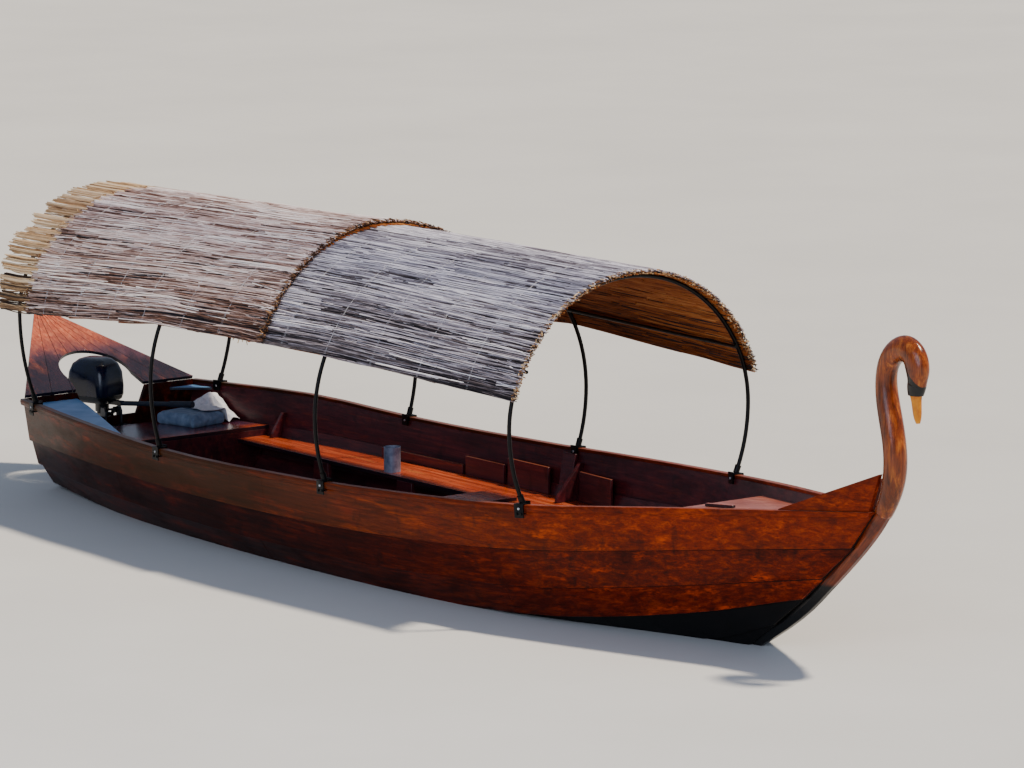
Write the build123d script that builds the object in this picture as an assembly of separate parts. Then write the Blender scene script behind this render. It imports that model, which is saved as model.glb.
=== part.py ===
"""Lapstrake lake boat with a swan figurehead, a reed canopy and a small outboard.

Millimetres, +X towards the bow, +Y to port, +Z up. The origin lies on the water plane, amidships
between the ends of the canopy. The hull's lines come from one table of stations, and what sits in
the hull takes its outline from the same lines.
"""
import os
from math import asin, atan, atan2, cos, degrees, hypot, radians, sin, tan

from build123d import *

# planking
PLANK = 18            # thickness of a strake
LAP = 30              # how far one strake laps the next
SEAM = 0.3            # clearance at every laid joint
KEEL_STRIP = 34       # depth and width of the strip under the keel plank
STEM_HALF = 28        # half thickness of the stem where the planks end
BOW_RUN = 3450        # place of the stem in the stations' spacing
BUTTS = [(-1500, 900), (-1700, 1450), (-900, 1350), (-2450, 480), (-700, 1600)]   # joints in each strake

# Stations: x, then half breadth and height of keel edge, garboard lap, paint line, middle lap,
# upper lap and sheer.
TRANSOM_X = -3840
STATIONS = [
    (TRANSOM_X, (50, -70), (280, -62), (420, 38), (530, 170), (592, 325), (648, 578)),
    (-2800, (50, -122), (350, -98), (590, 8), (715, 155), (798, 345), (858, 588)),
    (-1800, (50, -150), (390, -122), (665, -5), (795, 146), (873, 336), (928, 562)),
    (-600, (50, -155), (400, -126), (685, -10), (812, 146), (886, 342), (934, 578)),
    (600, (50, -150), (365, -115), (640, 0), (765, 172), (842, 376), (893, 628)),
    (1650, (50, -130), (265, -72), (500, 50), (628, 226), (704, 446), (762, 686)),
    (2500, (48, -90), (125, 15), (275, 172), (365, 335), (425, 540), (500, 762)),
]
# Where the same six lines end on the stem: x and height.
STEM_ENDS = [(2700, -40), (2985, 150), (3228, 330), (3387, 467), (3627, 668), (3786, 873)]

# stem: its fore edge in side view, x and height
STEM_EDGE = [(2461, -150), (2620, -98), (2777, -22), (3050, 134), (3238, 262), (3387, 388), (3544, 524),
             (3682, 650), (3798, 770), (3868, 858)]
STEM_DEPTH = 105      # depth of the stem timber behind its fore edge
STEM_CHEEK = 40       # where the cheeks begin to taper
STEM_NOSE = 16        # half width of the fore edge
NECK_TURN = 62        # direction of the neck where it stands on the stem, degrees

# rails on the sheer
RAIL_IN = 24
RAIL_OUT = 26
RAIL_CAP = 20
RAIL_DROP = 20

# breast boards: from nothing on the rail to an upper corner beside the neck
BREAST_START = 3250
BREAST_RISE = 6
BREAST_CORNER = (3858, 1100)
BREAST_BACK = 80
BREAST_T = 22

# transom
TRANSOM_T = 32
NOTCH_TOP = 262       # half width of the notch at the top
NOTCH_FOOT = 190
NOTCH_Z = 420

# tail fan, in its own plane: across, and up the slope from its foot
FAN_ANGLE = 25        # above the horizontal, leaning aft
FAN_T = 22
FAN_IN = 8            # how far the foot of the fan lies inside the sheer
FAN_HALF = STATIONS[0][6][0] - FAN_IN
FAN_LENGTH = 955
FAN_FOCUS = 1000      # where the edges of its boards would meet
FAN_EDGES = [0, 8, 15.7, 23.7, degrees(atan(FAN_HALF / FAN_FOCUS))]   # board edges, degrees off centre
FAN_GROOVE = 3
ARCH_HALF = 262
ARCH_IN = 240
ARCH_SPRING = 130     # where the arch begins to round
ARCH_TOP = 428
BATTEN_T = 25
BATTEN_W = 45         # width of the batten across the fan's underside
BATTEN_UP = 500       # how far up the slope it lies
FOOT_UP = 175         # how far up the slope the foot blocks lie
FOOT_W = 40
BRACKET_Y = 430
BRACKET_LEG = 150
BRACKET_T = 30

# Hoops: x, half width at the widest, height of the widest, top, radius of the shoulder, eave height of
# the mats and degrees of the purlin above the widest.
HOOPS = [
    (-3600, 806, 1180, 1900, 650, 1190, 21),
    (-1800, 985, 970, 1925, 920, 1325, 32),
    (-50, 985, 985, 1922, 905, 1345, 33),
    (1650, 850, 1120, 1917, 700, 1290, 29),
]
TUBE_R = 12
PURLIN_R = 10
REED = 28             # thickness of a reed mat
AFT_MAT = (-3900, -707)
FORE_MAT = (-693, 1715)

# clamps of the hoops on the rails
CLAMP_T = 6
CLAMP_ROOM = 1.8
CLAMP_LEN = 66
CLAMP_DROP = 74       # outer cheek below the clamp's seat
CLAMP_SHORT = 26      # inner cheek
COLLAR_R = 18
COLLAR_LEN = 42
FOOT_LIFT = 13        # foot of a hoop over the rail
BOLT_R = 8
BOLT_HEAD = 7
BOLT_UP = 22          # bolts above the lower edge of the clamp's outer cheek
BOLT_REACH = -2       # where the bolts end against the sheer strake, off the rail's seat

# inside
FLOOR_TOP = -28
FLOOR_T = 20
FLOOR_X = (-3080, 1500)
FLOOR_BOARD = 142
FLOOR_GAP = 6
BENCH_TOP = 315
BENCH_T = 24
BENCH_IN = 490
BENCH_BOW_IN = 430
BENCH_BOW_X = 1450
BENCH_JOINT = 600     # where the bench's two boards meet and its inner edge turns in
SUPPORT_X = [-2150, -1250, -400, 450]
SUPPORT_T = 24
TIMBER_T = 34
SEAT_TOP = 380
SEAT_T = 24
SEAT_X = (-3665, -3090)
PANEL_T = 18
THWART_X = (-480, -180)
THWART_T = 22
THWART_REACH = 560
# backboards on the benches: start, end and height
BACKBOARDS = [(-1950, -1120, 60), (-1090, -690, 118), (-650, -230, 165), (95, 430, 185)]
BACKBOARD_T = 18
KNEE_T = 25
FOREDECK_X = (2100, 3600)
FOREDECK_T = 20
DECK_DROP = 60
QUARTER_Z = 563
QUARTER_T = 18
QUARTER_CORNER = (-3513, 364)     # corner of the starboard quarter deck's inner edge
QUARTER_TIP = -2200
PORT_KNEE_X = -3640
COAMING_T = 20
COAMING_DROP = 80

# outboard
TILT_X = TRANSOM_X + 15
TILT_Z = 462
STEER_X = TILT_X - 105
STEER_REST = 18       # degrees to port as it lies
PIN_R = 8
TUBE_OUT = 35
TUBE_IN = 27
TUBE_Z = (230, 440)
COWL_Z = (545, 787)
PAN_Z = 497
HINGE_X = 165         # tiller hinge ahead of the steering axis
HINGE_Z = 503
TILLER_END = (752, 546)
PROP_Z = -235
PROP_X = -150
PROP_R = 110

# loose things
CUSHION = (360, 300, 72)
CUSHION_PLACE = (-3450, 370)
CUSHION_TURN = 12
THROW_X = (-3640, -3310)
THROW_TOP = 540
THROW_T = 34
CAN_PLACE = (-1470, 560)
CAN_R = 52
CAN_WALL = 3
CAN_TALL = 156

# side timbers between the bench and the rail: x, foot's depth off the side, height
KNEES = [(20, 150, 540), (-2985, 60, 470)]
RIB_X = (-135, -15)

os.makedirs("parts", exist_ok=True)


def save(name, *solids):
    shape = solids[0] if len(solids) == 1 else Compound(children=list(solids))
    shape.label = name
    export_step(shape, f"parts/{name}.step")


def lerp(a, b, t):
    return a + (b - a) * t


def mirrored(shape):
    return shape.mirror(Plane.XZ)


def ring_loft(rings, ruled=True):
    return Solid.make_loft([Wire.make_polygon([Vector(*p) for p in ring], close=True) for ring in rings], ruled)


def face_of(points):
    return Face(Wire.make_polygon([Vector(*p) for p in points], close=True))


def slab(points, z, thickness):
    return Solid.extrude(face_of([(x, y, z) for x, y in points]), Vector(0, 0, thickness))


def section_plate(points, x, thickness):
    return Solid.extrude(face_of([(x, y, z) for y, z in points]), Vector(thickness, 0, 0))


def side_plate(points, y, thickness):
    return Solid.extrude(face_of([(x, y, z) for x, z in points]), Vector(0, thickness, 0))


def box(x, y, z):
    return Solid.make_box(x[1] - x[0], y[1] - y[0], z[1] - z[0], Plane(Vector(x[0], y[0], z[0])))


def rod(start, end, radius):
    start, end = Vector(*start), Vector(*end)
    return Solid.make_cylinder(radius, (end - start).length, Plane(start, z_dir=end - start))


def ellipse_loft(sections):
    """Loft of ellipses: x and z of the centre, direction in side view, radius in it, half width."""
    rings = []
    for x, z, turn, deep, wide in sections:
        along = Vector(cos(radians(turn)), 0, sin(radians(turn)))
        plane = Plane(Vector(x, 0, z), x_dir=Vector(0, 1, 0), z_dir=along)
        rings.append(Wire([Edge.make_ellipse(wide, deep, plane)]))
    return Solid.make_loft(rings)


def joined(body, *others):
    (solid,) = body.fuse(*others).solids()
    return solid


# lines of the hull

def slope(u, v, i):
    if i == 0:
        return (v[1] - v[0]) / (u[1] - u[0])
    if i == len(u) - 1:
        return (v[-1] - v[-2]) / (u[-1] - u[-2])
    left, right = u[i] - u[i - 1], u[i + 1] - u[i]
    return ((v[i] - v[i - 1]) / left * right + (v[i + 1] - v[i]) / right * left) / (left + right)


def fair(u, v, at):
    """Smooth curve through the values v at u."""
    i = max(j for j in range(len(u) - 1) if u[j] <= at)
    span = u[i + 1] - u[i]
    t = (at - u[i]) / span
    a, b = slope(u, v, i) * span, slope(u, v, i + 1) * span
    return (v[i] * (1 + 2 * t) * (1 - t) ** 2 + v[i + 1] * (3 - 2 * t) * t ** 2
            + a * t * (1 - t) ** 2 - b * (1 - t) * t ** 2)


def make_lines():
    """Points of the six lines at close stations, from the transom to the stem."""
    knots = [row[0] for row in STATIONS] + [BOW_RUN]
    stops = []
    for a, b in zip(knots, knots[1:]):
        stops += [lerp(a, b, t) for t in ((0, 0.33, 0.66) if b != BOW_RUN else (0, 0.25, 0.5, 0.75, 0.92))]
    lines = []
    for at in stops + [BOW_RUN]:
        points = []
        for k in range(6):
            xs = [row[0] for row in STATIONS] + [STEM_ENDS[k][0]]
            ys = [row[k + 1][0] for row in STATIONS] + [STEM_HALF + (PLANK if k else 0)]
            zs = [row[k + 1][1] for row in STATIONS] + [STEM_ENDS[k][1]]
            points.append(tuple(fair(knots, v, at) for v in (xs, ys, zs)))
        lines.append(points)
    return lines


LINES = make_lines()


def basis(low, high):
    """Directions up a strake's inner face and out of it, its outer face meeting the lap above."""
    rise = Vector(high[0] - low[0], 0, high[2] - low[2])
    length = hypot(rise.length, high[1] - low[1])
    angle = atan2(rise.length, high[1] - low[1]) + asin(PLANK / length)
    up, across = rise.normalized(), Vector(0, 1, 0)
    return across * cos(angle) + up * sin(angle), across * sin(angle) - up * cos(angle)


def strake_ring(points, k):
    """Section of strake k: inner foot, inner top, top and foot of the land, outer foot."""
    low, high = Vector(*points[k]), Vector(*points[k + 1])
    along, out = basis(points[k], points[k + 1])
    if k == 4:
        reach = (high.Z - low.Z) / along.Z
        return [low, low + along * reach, high, low + out * PLANK]
    stem_end = points is LINES[-1]
    next_along, next_out = basis(points[k + 1], points[k + 2])
    edge = high - next_out * (1 if stem_end else SEAM)
    land = edge + next_along * (3 if stem_end else LAP)
    if stem_end:
        flat = along.cross(out)
        edge -= flat * (edge - low).dot(flat)
        land -= flat * (land - low).dot(flat)
    reach = (land - low).dot(along)
    return [low, low + along * reach, land, edge, low + out * PLANK]


def strake(k):
    """Boards of strake k from the transom to the stem, butted at the places in BUTTS."""
    rings = [strake_ring(points, k) for points in LINES]
    boards = []
    board = []
    for a, b in zip(rings, rings[1:]):
        board.append(a)
        for x in BUTTS[k]:
            if a[0].X <= x < b[0].X:
                ends = [[p + (q - p) * ((end - a[0].X) / (b[0].X - a[0].X)) for p, q in zip(a, b)]
                        for end in (x, x + SEAM)]
                boards.append(board + ends[:1])
                board = ends[1:]
    boards.append(board + rings[-1:])
    return [ring_loft([[tuple(p) for p in ring] for ring in board]) for board in boards]


def line_at(k, x):
    """Half breadth and height of line k at x, straight between the close stations."""
    row = [points[k] for points in LINES]
    for a, b in zip(row, row[1:]):
        if x <= b[0]:
            t = (x - a[0]) / (b[0] - a[0])
            return lerp(a[1], b[1], t), lerp(a[2], b[2], t)
    return None


def inside(x, room=1.0):
    """Half section of the planking's inner face at x, from the keel up, as (half breadth, height)."""
    points = []
    for k in range(6):
        hit = line_at(k, x)
        if hit:
            points.append((x,) + hit)
    outline = []
    for k in range(len(points) - 1):
        low, high = Vector(*points[k]), Vector(*points[k + 1])
        along, out = basis(points[k], points[k + 1])
        if k + 2 < len(points):
            next_along, _ = basis(points[k + 1], points[k + 2])
            land = high + next_along * LAP
        else:
            land = high
        top = low + along * (land - low).dot(along)
        shift = out * room
        outline += [low - shift, top - shift] + ([land - shift] if k + 2 < len(points) else [])
    return [(p.Y, p.Z) for p in outline]


def half_breadth(x, z, room=1.5):
    outline = inside(x, room)
    best = None
    for (y0, z0), (y1, z1) in zip(outline, outline[1:]):
        if min(z0, z1) <= z <= max(z0, z1) and z0 != z1:
            y = lerp(y0, y1, (z - z0) / (z1 - z0))
            best = y if best is None else min(best, y)
    return best


def inner_section(x, low, high, room=1.5):
    """The planking's inner face at x between two heights, from the lower one up."""
    heights = sorted(z for _, z in inside(x, room) if low + 2 < z < high - 2)
    return [(half_breadth(x, z, room), z) for z in [low] + heights + [high]]


def sheer(x):
    return line_at(5, x)


def rail_ring(points):
    """Section of the rail: a cap over the sheer strake and a rubbing strip down its outside."""
    _, _, edge, outer = strake_ring(points, 4)
    up = Vector(edge.X - outer.X, 0, edge.Z - outer.Z).normalized()
    out = Vector(0, 1, 0)
    down = edge + (outer - edge).normalized() * RAIL_DROP
    inner = min(RAIL_IN, edge.Y - STEM_HALF)
    return [edge - out * inner + up * SEAM, edge + out * SEAM + up * SEAM, down + out * SEAM,
            down + out * (edge.Y - down.Y + RAIL_OUT - 6), edge + out * RAIL_OUT + up * 4,
            edge + out * (RAIL_OUT - 4) + up * RAIL_CAP, edge - out * inner + up * RAIL_CAP]


def rail_top(x):
    tops = [(p.X, p.Z) for p in (rail_ring(points)[-1] for points in LINES)]
    for a, b in zip(tops, tops[1:]):
        if x <= b[0]:
            return lerp(a[1], b[1], (x - a[0]) / (b[0] - a[0]))
    return tops[-1][1]


# hull

def keel():
    rings = []
    stops = [points[0] for points in LINES if points[0][0] < 2450]
    stops.append((2460,) + line_at(0, 2460))
    strip = KEEL_STRIP / 2
    for x, y, z in stops:
        half = y - SEAM
        low = z - PLANK - 6
        foot = low - KEEL_STRIP
        port = [(half, z), (half, low), (strip, low), (strip, foot)]
        rings.append([(x, y, z) for y, z in port + [(-y, z) for y, z in reversed(port)]])
    return ring_loft(rings)


def stem_edge():
    """The stem's fore edge at half steps of its table."""
    steps = range(len(STEM_EDGE))
    xs, zs = zip(*STEM_EDGE)
    return [(fair(steps, xs, i / 2), fair(steps, zs, i / 2)) for i in range(2 * len(STEM_EDGE) - 1)]


def stem():
    """Raked stem timber whose cheeks narrow from the plank ends to the fore edge."""
    rings = []
    edge = stem_edge()
    last = len(edge) - 1
    for i, (x, z) in enumerate(edge):
        a, b = edge[max(i - 1, 0)], edge[min(i + 1, last)]
        run = hypot(b[0] - a[0], b[1] - a[1])
        back = (-(b[1] - a[1]) / run, (b[0] - a[0]) / run)
        if i == 0:
            back = (0, 1)
        if i == last:
            back = (-sin(radians(NECK_TURN)), cos(radians(NECK_TURN)))
        wide = max(STEM_HALF, line_at(0, x)[0] if x < STEM_ENDS[0][0] else 0) - SEAM
        port = [(0, STEM_NOSE), (STEM_CHEEK, wide), (STEM_DEPTH, wide)]
        both = port + [(depth, -half) for depth, half in reversed(port)]
        rings.append([(x + depth * back[0], half, z + depth * back[1]) for depth, half in both])
    return ring_loft(rings)


def rail():
    return ring_loft([[tuple(p) for p in rail_ring(points)] for points in LINES])


def transom():
    top = rail_top(TRANSOM_X)
    port = inner_section(TRANSOM_X, inside(TRANSOM_X)[0][1] + 1, STATIONS[0][6][1] - 2, SEAM)
    shoulder = STATIONS[0][6][0] - RAIL_IN - 1
    port += [(shoulder, STATIONS[0][6][1] - 2), (shoulder, top), (NOTCH_TOP, top), (NOTCH_FOOT, NOTCH_Z)]
    return section_plate(port + [(-y, z) for y, z in reversed(port)], TRANSOM_X, TRANSOM_T)


def breast_board():
    """Upstanding board on the rail, its straight top edge rising to a corner that leans to the neck."""
    rings = []
    base = rail_top(BREAST_START) + BREAST_RISE
    for t in (0, 0.25, 0.5, 0.75, 1):
        x = lerp(BREAST_START, BREAST_CORNER[0] - BREAST_BACK, t)
        top_x = lerp(BREAST_START, BREAST_CORNER[0], t)
        top = lerp(base, BREAST_CORNER[1], t)
        foot = rail_top(x) + 2 * SEAM
        outer = sheer(x)[0] + BREAST_T / 2
        inner = outer - BREAST_T
        rings.append([(x, inner, foot), (x, outer, foot), (top_x, outer - 4, top), (top_x, inner - 4, top)])
    return ring_loft(rings)


# swan: x, z, direction, radius fore and aft, half width
NECK = [
    (3828.4, 879.5, NECK_TURN, 50, 48), (3872, 958, 67, 56, 56), (3906, 1045, 79, 61, 61), (3922, 1150, 90, 64, 64),
    (3913, 1270, 99, 64, 64), (3882, 1400, 103, 64, 64), (3852, 1530, 98, 61, 61), (3848, 1620, 84, 58, 58),
    (3872, 1700, 60, 60, 57), (3935, 1764, 30, 66, 57), (4018, 1780, -8, 74, 56), (4080, 1736, -52, 78, 55),
    (4099, 1662, -84, 70, 52), (4092, 1604, -98, 58, 46),
]
BEAK_BASE = [(4091.96, 1603.7, -98, 58, 46), (4086, 1572, -96, 54, 42), (4083, 1546, -90, 48, 36)]
BEAK = [(4084, 1545.5, -90, 40, 27), (4093, 1480, -85, 30, 22), (4100, 1420, -84, 20, 17), (4103, 1398, -84, 11, 10)]


# tail fan

def fan_plane():
    a = radians(FAN_ANGLE)
    origin = Vector(TRANSOM_X, 0, rail_top(TRANSOM_X) + SEAM)
    return Plane(origin, x_dir=Vector(0, 1, 0), z_dir=Vector(sin(a), 0, cos(a)))


def fan_solid(points, low=0.0, high=FAN_T):
    plane = fan_plane()
    face = face_of([tuple(plane.from_local_coords(Vector(s, d, low))) for s, d in points])
    return Solid.extrude(face, plane.z_dir * (high - low))


def arch_cutter():
    plane = fan_plane()
    low = -BATTEN_T - 5

    def at(s, d):
        return plane.from_local_coords(Vector(s, d, low))

    edges = [Edge.make_line(at(-ARCH_HALF, -40), at(ARCH_HALF, -40)),
             Edge.make_line(at(ARCH_HALF, -40), at(ARCH_IN, ARCH_SPRING)),
             Edge.make_three_point_arc(at(ARCH_IN, ARCH_SPRING), at(0, ARCH_TOP), at(-ARCH_IN, ARCH_SPRING)),
             Edge.make_line(at(-ARCH_IN, ARCH_SPRING), at(-ARCH_HALF, -40))]
    return Solid.extrude(Face(Wire(edges)), plane.z_dir * (FAN_T - low + 5))


def fan_edge(angle, d):
    return (FAN_FOCUS - d) * tan(radians(angle))


def tail_fan():
    cutter = arch_cutter()
    solids = []
    for side in (1, -1):
        for a, b in zip(FAN_EDGES, FAN_EDGES[1:]):
            gap = FAN_GROOVE / 2
            last = b == FAN_EDGES[-1]
            points = [(fan_edge(a, 0) + gap, 0), (fan_edge(b, 0) - (0 if last else gap), 0),
                      (fan_edge(b, FAN_LENGTH) - (0 if last else gap), FAN_LENGTH),
                      (fan_edge(a, FAN_LENGTH) + gap, FAN_LENGTH)]
            board = fan_solid([(side * s, d) for s, d in points]) - cutter
            solids += list(board.solids())
        near, far = ARCH_HALF + 23, fan_edge(FAN_EDGES[-1], FOOT_UP) - 28
        foot = fan_solid([(side * near, FOOT_UP), (side * far, FOOT_UP), (side * (far - 25), FOOT_UP + FOOT_W),
                          (side * near, FOOT_UP + FOOT_W)], -BATTEN_T, -SEAM)
        solids.append(foot)
        slope_rise = tan(radians(FAN_ANGLE))
        under = rail_top(TRANSOM_X)
        x = TRANSOM_X - SEAM
        points = [(x, under - BRACKET_LEG), (x, under), (x - BRACKET_LEG, under + BRACKET_LEG * slope_rise),
                  (x - BRACKET_LEG, under + BRACKET_LEG * slope_rise - 30), (x - 35, under - BRACKET_LEG)]
        solids.append(side_plate(points, side * BRACKET_Y - BRACKET_T / 2, BRACKET_T))
    top = BATTEN_UP + BATTEN_W
    wide = fan_edge(FAN_EDGES[-1], top) - 20
    solids.append(fan_solid([(-wide - 25, BATTEN_UP), (wide + 25, BATTEN_UP), (wide, top), (-wide, top)],
                            -BATTEN_T, -SEAM))
    return solids


# canopy

def hoop_row(x):
    """The hoop table's values at any x, straight between hoops and level beyond them."""
    x = min(max(x, HOOPS[0][0]), HOOPS[-1][0])
    for a, b in zip(HOOPS, HOOPS[1:]):
        if x <= b[0]:
            t = (x - a[0]) / (b[0] - a[0])
            return [lerp(p, q, t) for p, q in zip(a, b)]


def bow_shape(row):
    """Centres, radii and turning point of a hoop's shoulder and crown."""
    _, half, widest, top, shoulder, _, _ = row
    ratio = (top - widest - shoulder) / (half - shoulder)
    turn = radians(90) - 2 * atan(ratio)
    centre = (half - shoulder, widest)
    crown = shoulder + centre[0] / cos(turn)
    return centre, shoulder, turn, (0, widest - centre[0] * tan(turn)), crown


def on_arc(x, centre, radius, angle, side=1):
    return Vector(x, side * (centre[0] + radius * cos(angle)), centre[1] + radius * sin(angle))


def bow_edges(x, row, offset, start):
    """Edges over the top from starboard to port at an offset, from a starting angle on the shoulder."""
    centre, shoulder, turn, peak, crown = bow_shape(row)
    a, b = shoulder + offset, crown + offset
    mid = (start + turn) / 2
    starboard = Edge.make_three_point_arc(on_arc(x, centre, a, start, -1), on_arc(x, centre, a, mid, -1),
                                          on_arc(x, centre, a, turn, -1))
    top = Edge.make_three_point_arc(on_arc(x, centre, a, turn, -1), Vector(x, 0, peak[1] + b),
                                    on_arc(x, centre, a, turn, 1))
    port = Edge.make_three_point_arc(on_arc(x, centre, a, turn), on_arc(x, centre, a, mid),
                                     on_arc(x, centre, a, start))
    return [starboard, top, port]


def hoop_foot(row):
    y, z = sheer(row[0])
    return y, z + RAIL_CAP + FOOT_LIFT


def leg(row):
    """Centre and radius of a hoop's leg and the angle down to its foot."""
    y, z = hoop_foot(row)
    _, half, widest = row[:3]
    out, down = half - y, widest - z
    radius = (out ** 2 + down ** 2) / (2 * out)
    return (half - radius, widest), radius, asin(down / radius)


def hoop(row):
    x = row[0]
    centre, radius, drop = leg(row)
    edges = bow_edges(x, row, 0, 0)
    legs = []
    for side in (-1, 1):
        points = [on_arc(x, centre, radius, -drop * t, side) for t in (1, 0.5, 0)]
        legs.append(points if side < 0 else points[::-1])
    path = Wire([Edge.make_three_point_arc(*legs[0])] + edges + [Edge.make_three_point_arc(*legs[1])])
    start = path @ 0
    profile = Wire([Edge.make_circle(TUBE_R, Plane(start, z_dir=path % 0))])
    return Solid.sweep(profile, path)


def mat(start, end):
    sections = []
    inner, outer = TUBE_R + SEAM, TUBE_R + SEAM + REED
    for x in [start] + [row[0] for row in HOOPS if start < row[0] < end] + [end]:
        row = hoop_row(x)
        centre, shoulder, *_ = bow_shape(row)
        angle = asin((row[5] - row[2]) / shoulder)
        low = bow_edges(x, row, inner, angle)
        high = bow_edges(x, row, outer, angle)
        sides = [Edge.make_line(low[2] @ 1, high[2] @ 1), Edge.make_line(high[0] @ 0, low[0] @ 0)]
        sections.append(Wire(low + [sides[0]] + high + [sides[1]]))
    return Solid.make_loft(sections, True)


def purlin(side):
    stops = [AFT_MAT[0] + 40] + [row[0] for row in HOOPS] + [FORE_MAT[1] - 40]
    points = []
    for x in stops:
        row = hoop_row(x)
        centre, shoulder, *_ = bow_shape(row)
        points.append(on_arc(x, centre, shoulder - TUBE_R - PURLIN_R - SEAM, radians(row[6]), side))
    path = Wire.make_polygon(points, close=False)
    profile = Wire([Edge.make_circle(PURLIN_R, Plane(points[0], z_dir=path % 0))])
    return Solid.sweep(profile, path, transition=Transition.RIGHT)


def clamp(row, side):
    """Saddle over the rail, bolted through its outer cheek, with a collar round the hoop's foot."""
    x = row[0]
    y, z = sheer(x)
    ahead, behind = sheer(x + 50), sheer(x - 50)
    top = RAIL_CAP + CLAMP_ROOM
    inner, outer = -RAIL_IN - CLAMP_ROOM, RAIL_OUT + CLAMP_ROOM
    half = CLAMP_LEN / 2
    low = top - CLAMP_DROP
    short = top - CLAMP_SHORT
    outline = [(inner - CLAMP_T, short), (inner - CLAMP_T, top + CLAMP_T), (outer + CLAMP_T, top + CLAMP_T),
               (outer + CLAMP_T, low), (outer, low), (outer, top), (inner, top), (inner, short)]
    saddle = section_plate(outline, -half, CLAMP_LEN)
    face = outer + CLAMP_T
    bolts = [rod((bolt_x, face - 2, low + BOLT_UP), (bolt_x, face + BOLT_HEAD, low + BOLT_UP), BOLT_R)
             for bolt_x in (-half / 2, half / 2)]
    bolts += [rod((bolt_x, BOLT_REACH, low + BOLT_UP), (bolt_x, face, low + BOLT_UP), BOLT_R / 2)
              for bolt_x in (-half / 2, half / 2)]
    body = joined(saddle, *bolts)
    body = body.rotate(Axis.Y, -degrees(atan2(ahead[1] - behind[1], 100)))
    body = body.rotate(Axis.Z, degrees(atan2(ahead[0] - behind[0], 100)))
    _, radius, drop = leg(row)
    lean = drop - COLLAR_LEN / (2 * radius)
    rise = Vector(0, sin(lean), cos(lean))
    foot = Vector(0, 0, RAIL_CAP + FOOT_LIFT)
    body = joined(body, rod(foot - rise * 5, foot + rise * COLLAR_LEN, COLLAR_R))
    body = body.cut(rod(foot - rise * 1, foot + rise * (COLLAR_LEN + 5), TUBE_R + 2 * SEAM)).solids()[0]
    body = body.translate(Vector(x, y, z))
    return mirrored(body) if side < 0 else body


# inside

def plan_edge(start, end, z, room=1.5):
    stops = [start] + [p[0][0] for p in LINES if start < p[0][0] < end and p[0][0] < 2450] + [end]
    return [(x, half_breadth(x, z, room)) for x in stops]


def floorboards():
    low = FLOOR_TOP - FLOOR_T
    edge = plan_edge(FLOOR_X[0], FLOOR_X[1], low, 6)
    floor = slab(edge + [(x, -y) for x, y in reversed(edge)], low, FLOOR_T)
    boards = []
    step = FLOOR_BOARD + FLOOR_GAP
    for i in range(-3, 4):
        y = i * step
        strip = box(FLOOR_X, (y - FLOOR_BOARD / 2, y + FLOOR_BOARD / 2), (low - 1, FLOOR_TOP + 1))
        boards += list((floor & strip).solids())
    return boards


def floor_timber(x):
    top = FLOOR_TOP - FLOOR_T - SEAM
    narrow = x - TIMBER_T / 2 if x < -600 else x + TIMBER_T / 2
    start = inside(narrow, SEAM)[0]
    port = [start] + inner_section(narrow, start[1] + 1, top, 1)[1:]
    return section_plate(port + [(-y, z) for y, z in reversed(port)], x - TIMBER_T / 2, TIMBER_T)


def bench():
    """Side bench in two boards."""
    low = BENCH_TOP - BENCH_T
    boards = []
    for start, end, inner_end in [(SEAT_X[1] + SEAM, BENCH_JOINT, BENCH_IN),
                                  (BENCH_JOINT + SEAM, BENCH_BOW_X, BENCH_BOW_IN)]:
        boards.append(slab(plan_edge(start, end, low) + [(end, inner_end), (start, BENCH_IN)], low, BENCH_T))
    return boards


def bench_support(x):
    top = BENCH_TOP - BENCH_T - SEAM
    points = [(x - 100, FLOOR_TOP + SEAM), (x + 100, FLOOR_TOP + SEAM), (x + 78, top), (x - 78, top)]
    return side_plate(points, BENCH_IN + 0.5, SUPPORT_T)


def backboard(start, end, height):
    z = BENCH_TOP + SEAM
    a, b = half_breadth(start, z) - 2, half_breadth(end, z) - 2
    return slab([(start, a), (end, b), (end, b - BACKBOARD_T), (start, a - BACKBOARD_T)], z, height)


def lining(x, length, low, high, thickness, room=3):
    """Pad against the planking's inner face from x forward, its section that of its narrower end."""
    narrow = min((x, x + length), key=lambda end: half_breadth(end, (low + high) / 2))
    out = inner_section(narrow, low, high, room)
    return section_plate(out + [(y - thickness, z) for y, z in reversed(out)], x, length)


def knee(x, foot, high):
    low = BENCH_TOP + SEAM
    out = inner_section(x, low, high, 3)
    return section_plate(out + [(out[-1][0] - 28, high), (out[0][0] - foot, low + 26), (out[0][0] - foot, low)],
                         x, KNEE_T)


def helm_panel(x):
    port = inner_section(x, inside(x)[1][1] + 3, SEAT_TOP - SEAT_T - SEAM)
    return section_plate(port + [(-y, z) for y, z in reversed(port)], x, PANEL_T)


def helm_seat():
    low = SEAT_TOP - SEAT_T
    edge = plan_edge(SEAT_X[0], SEAT_X[1], low)
    return slab(edge + [(x, -y) for x, y in reversed(edge)], low, SEAT_T)


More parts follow.
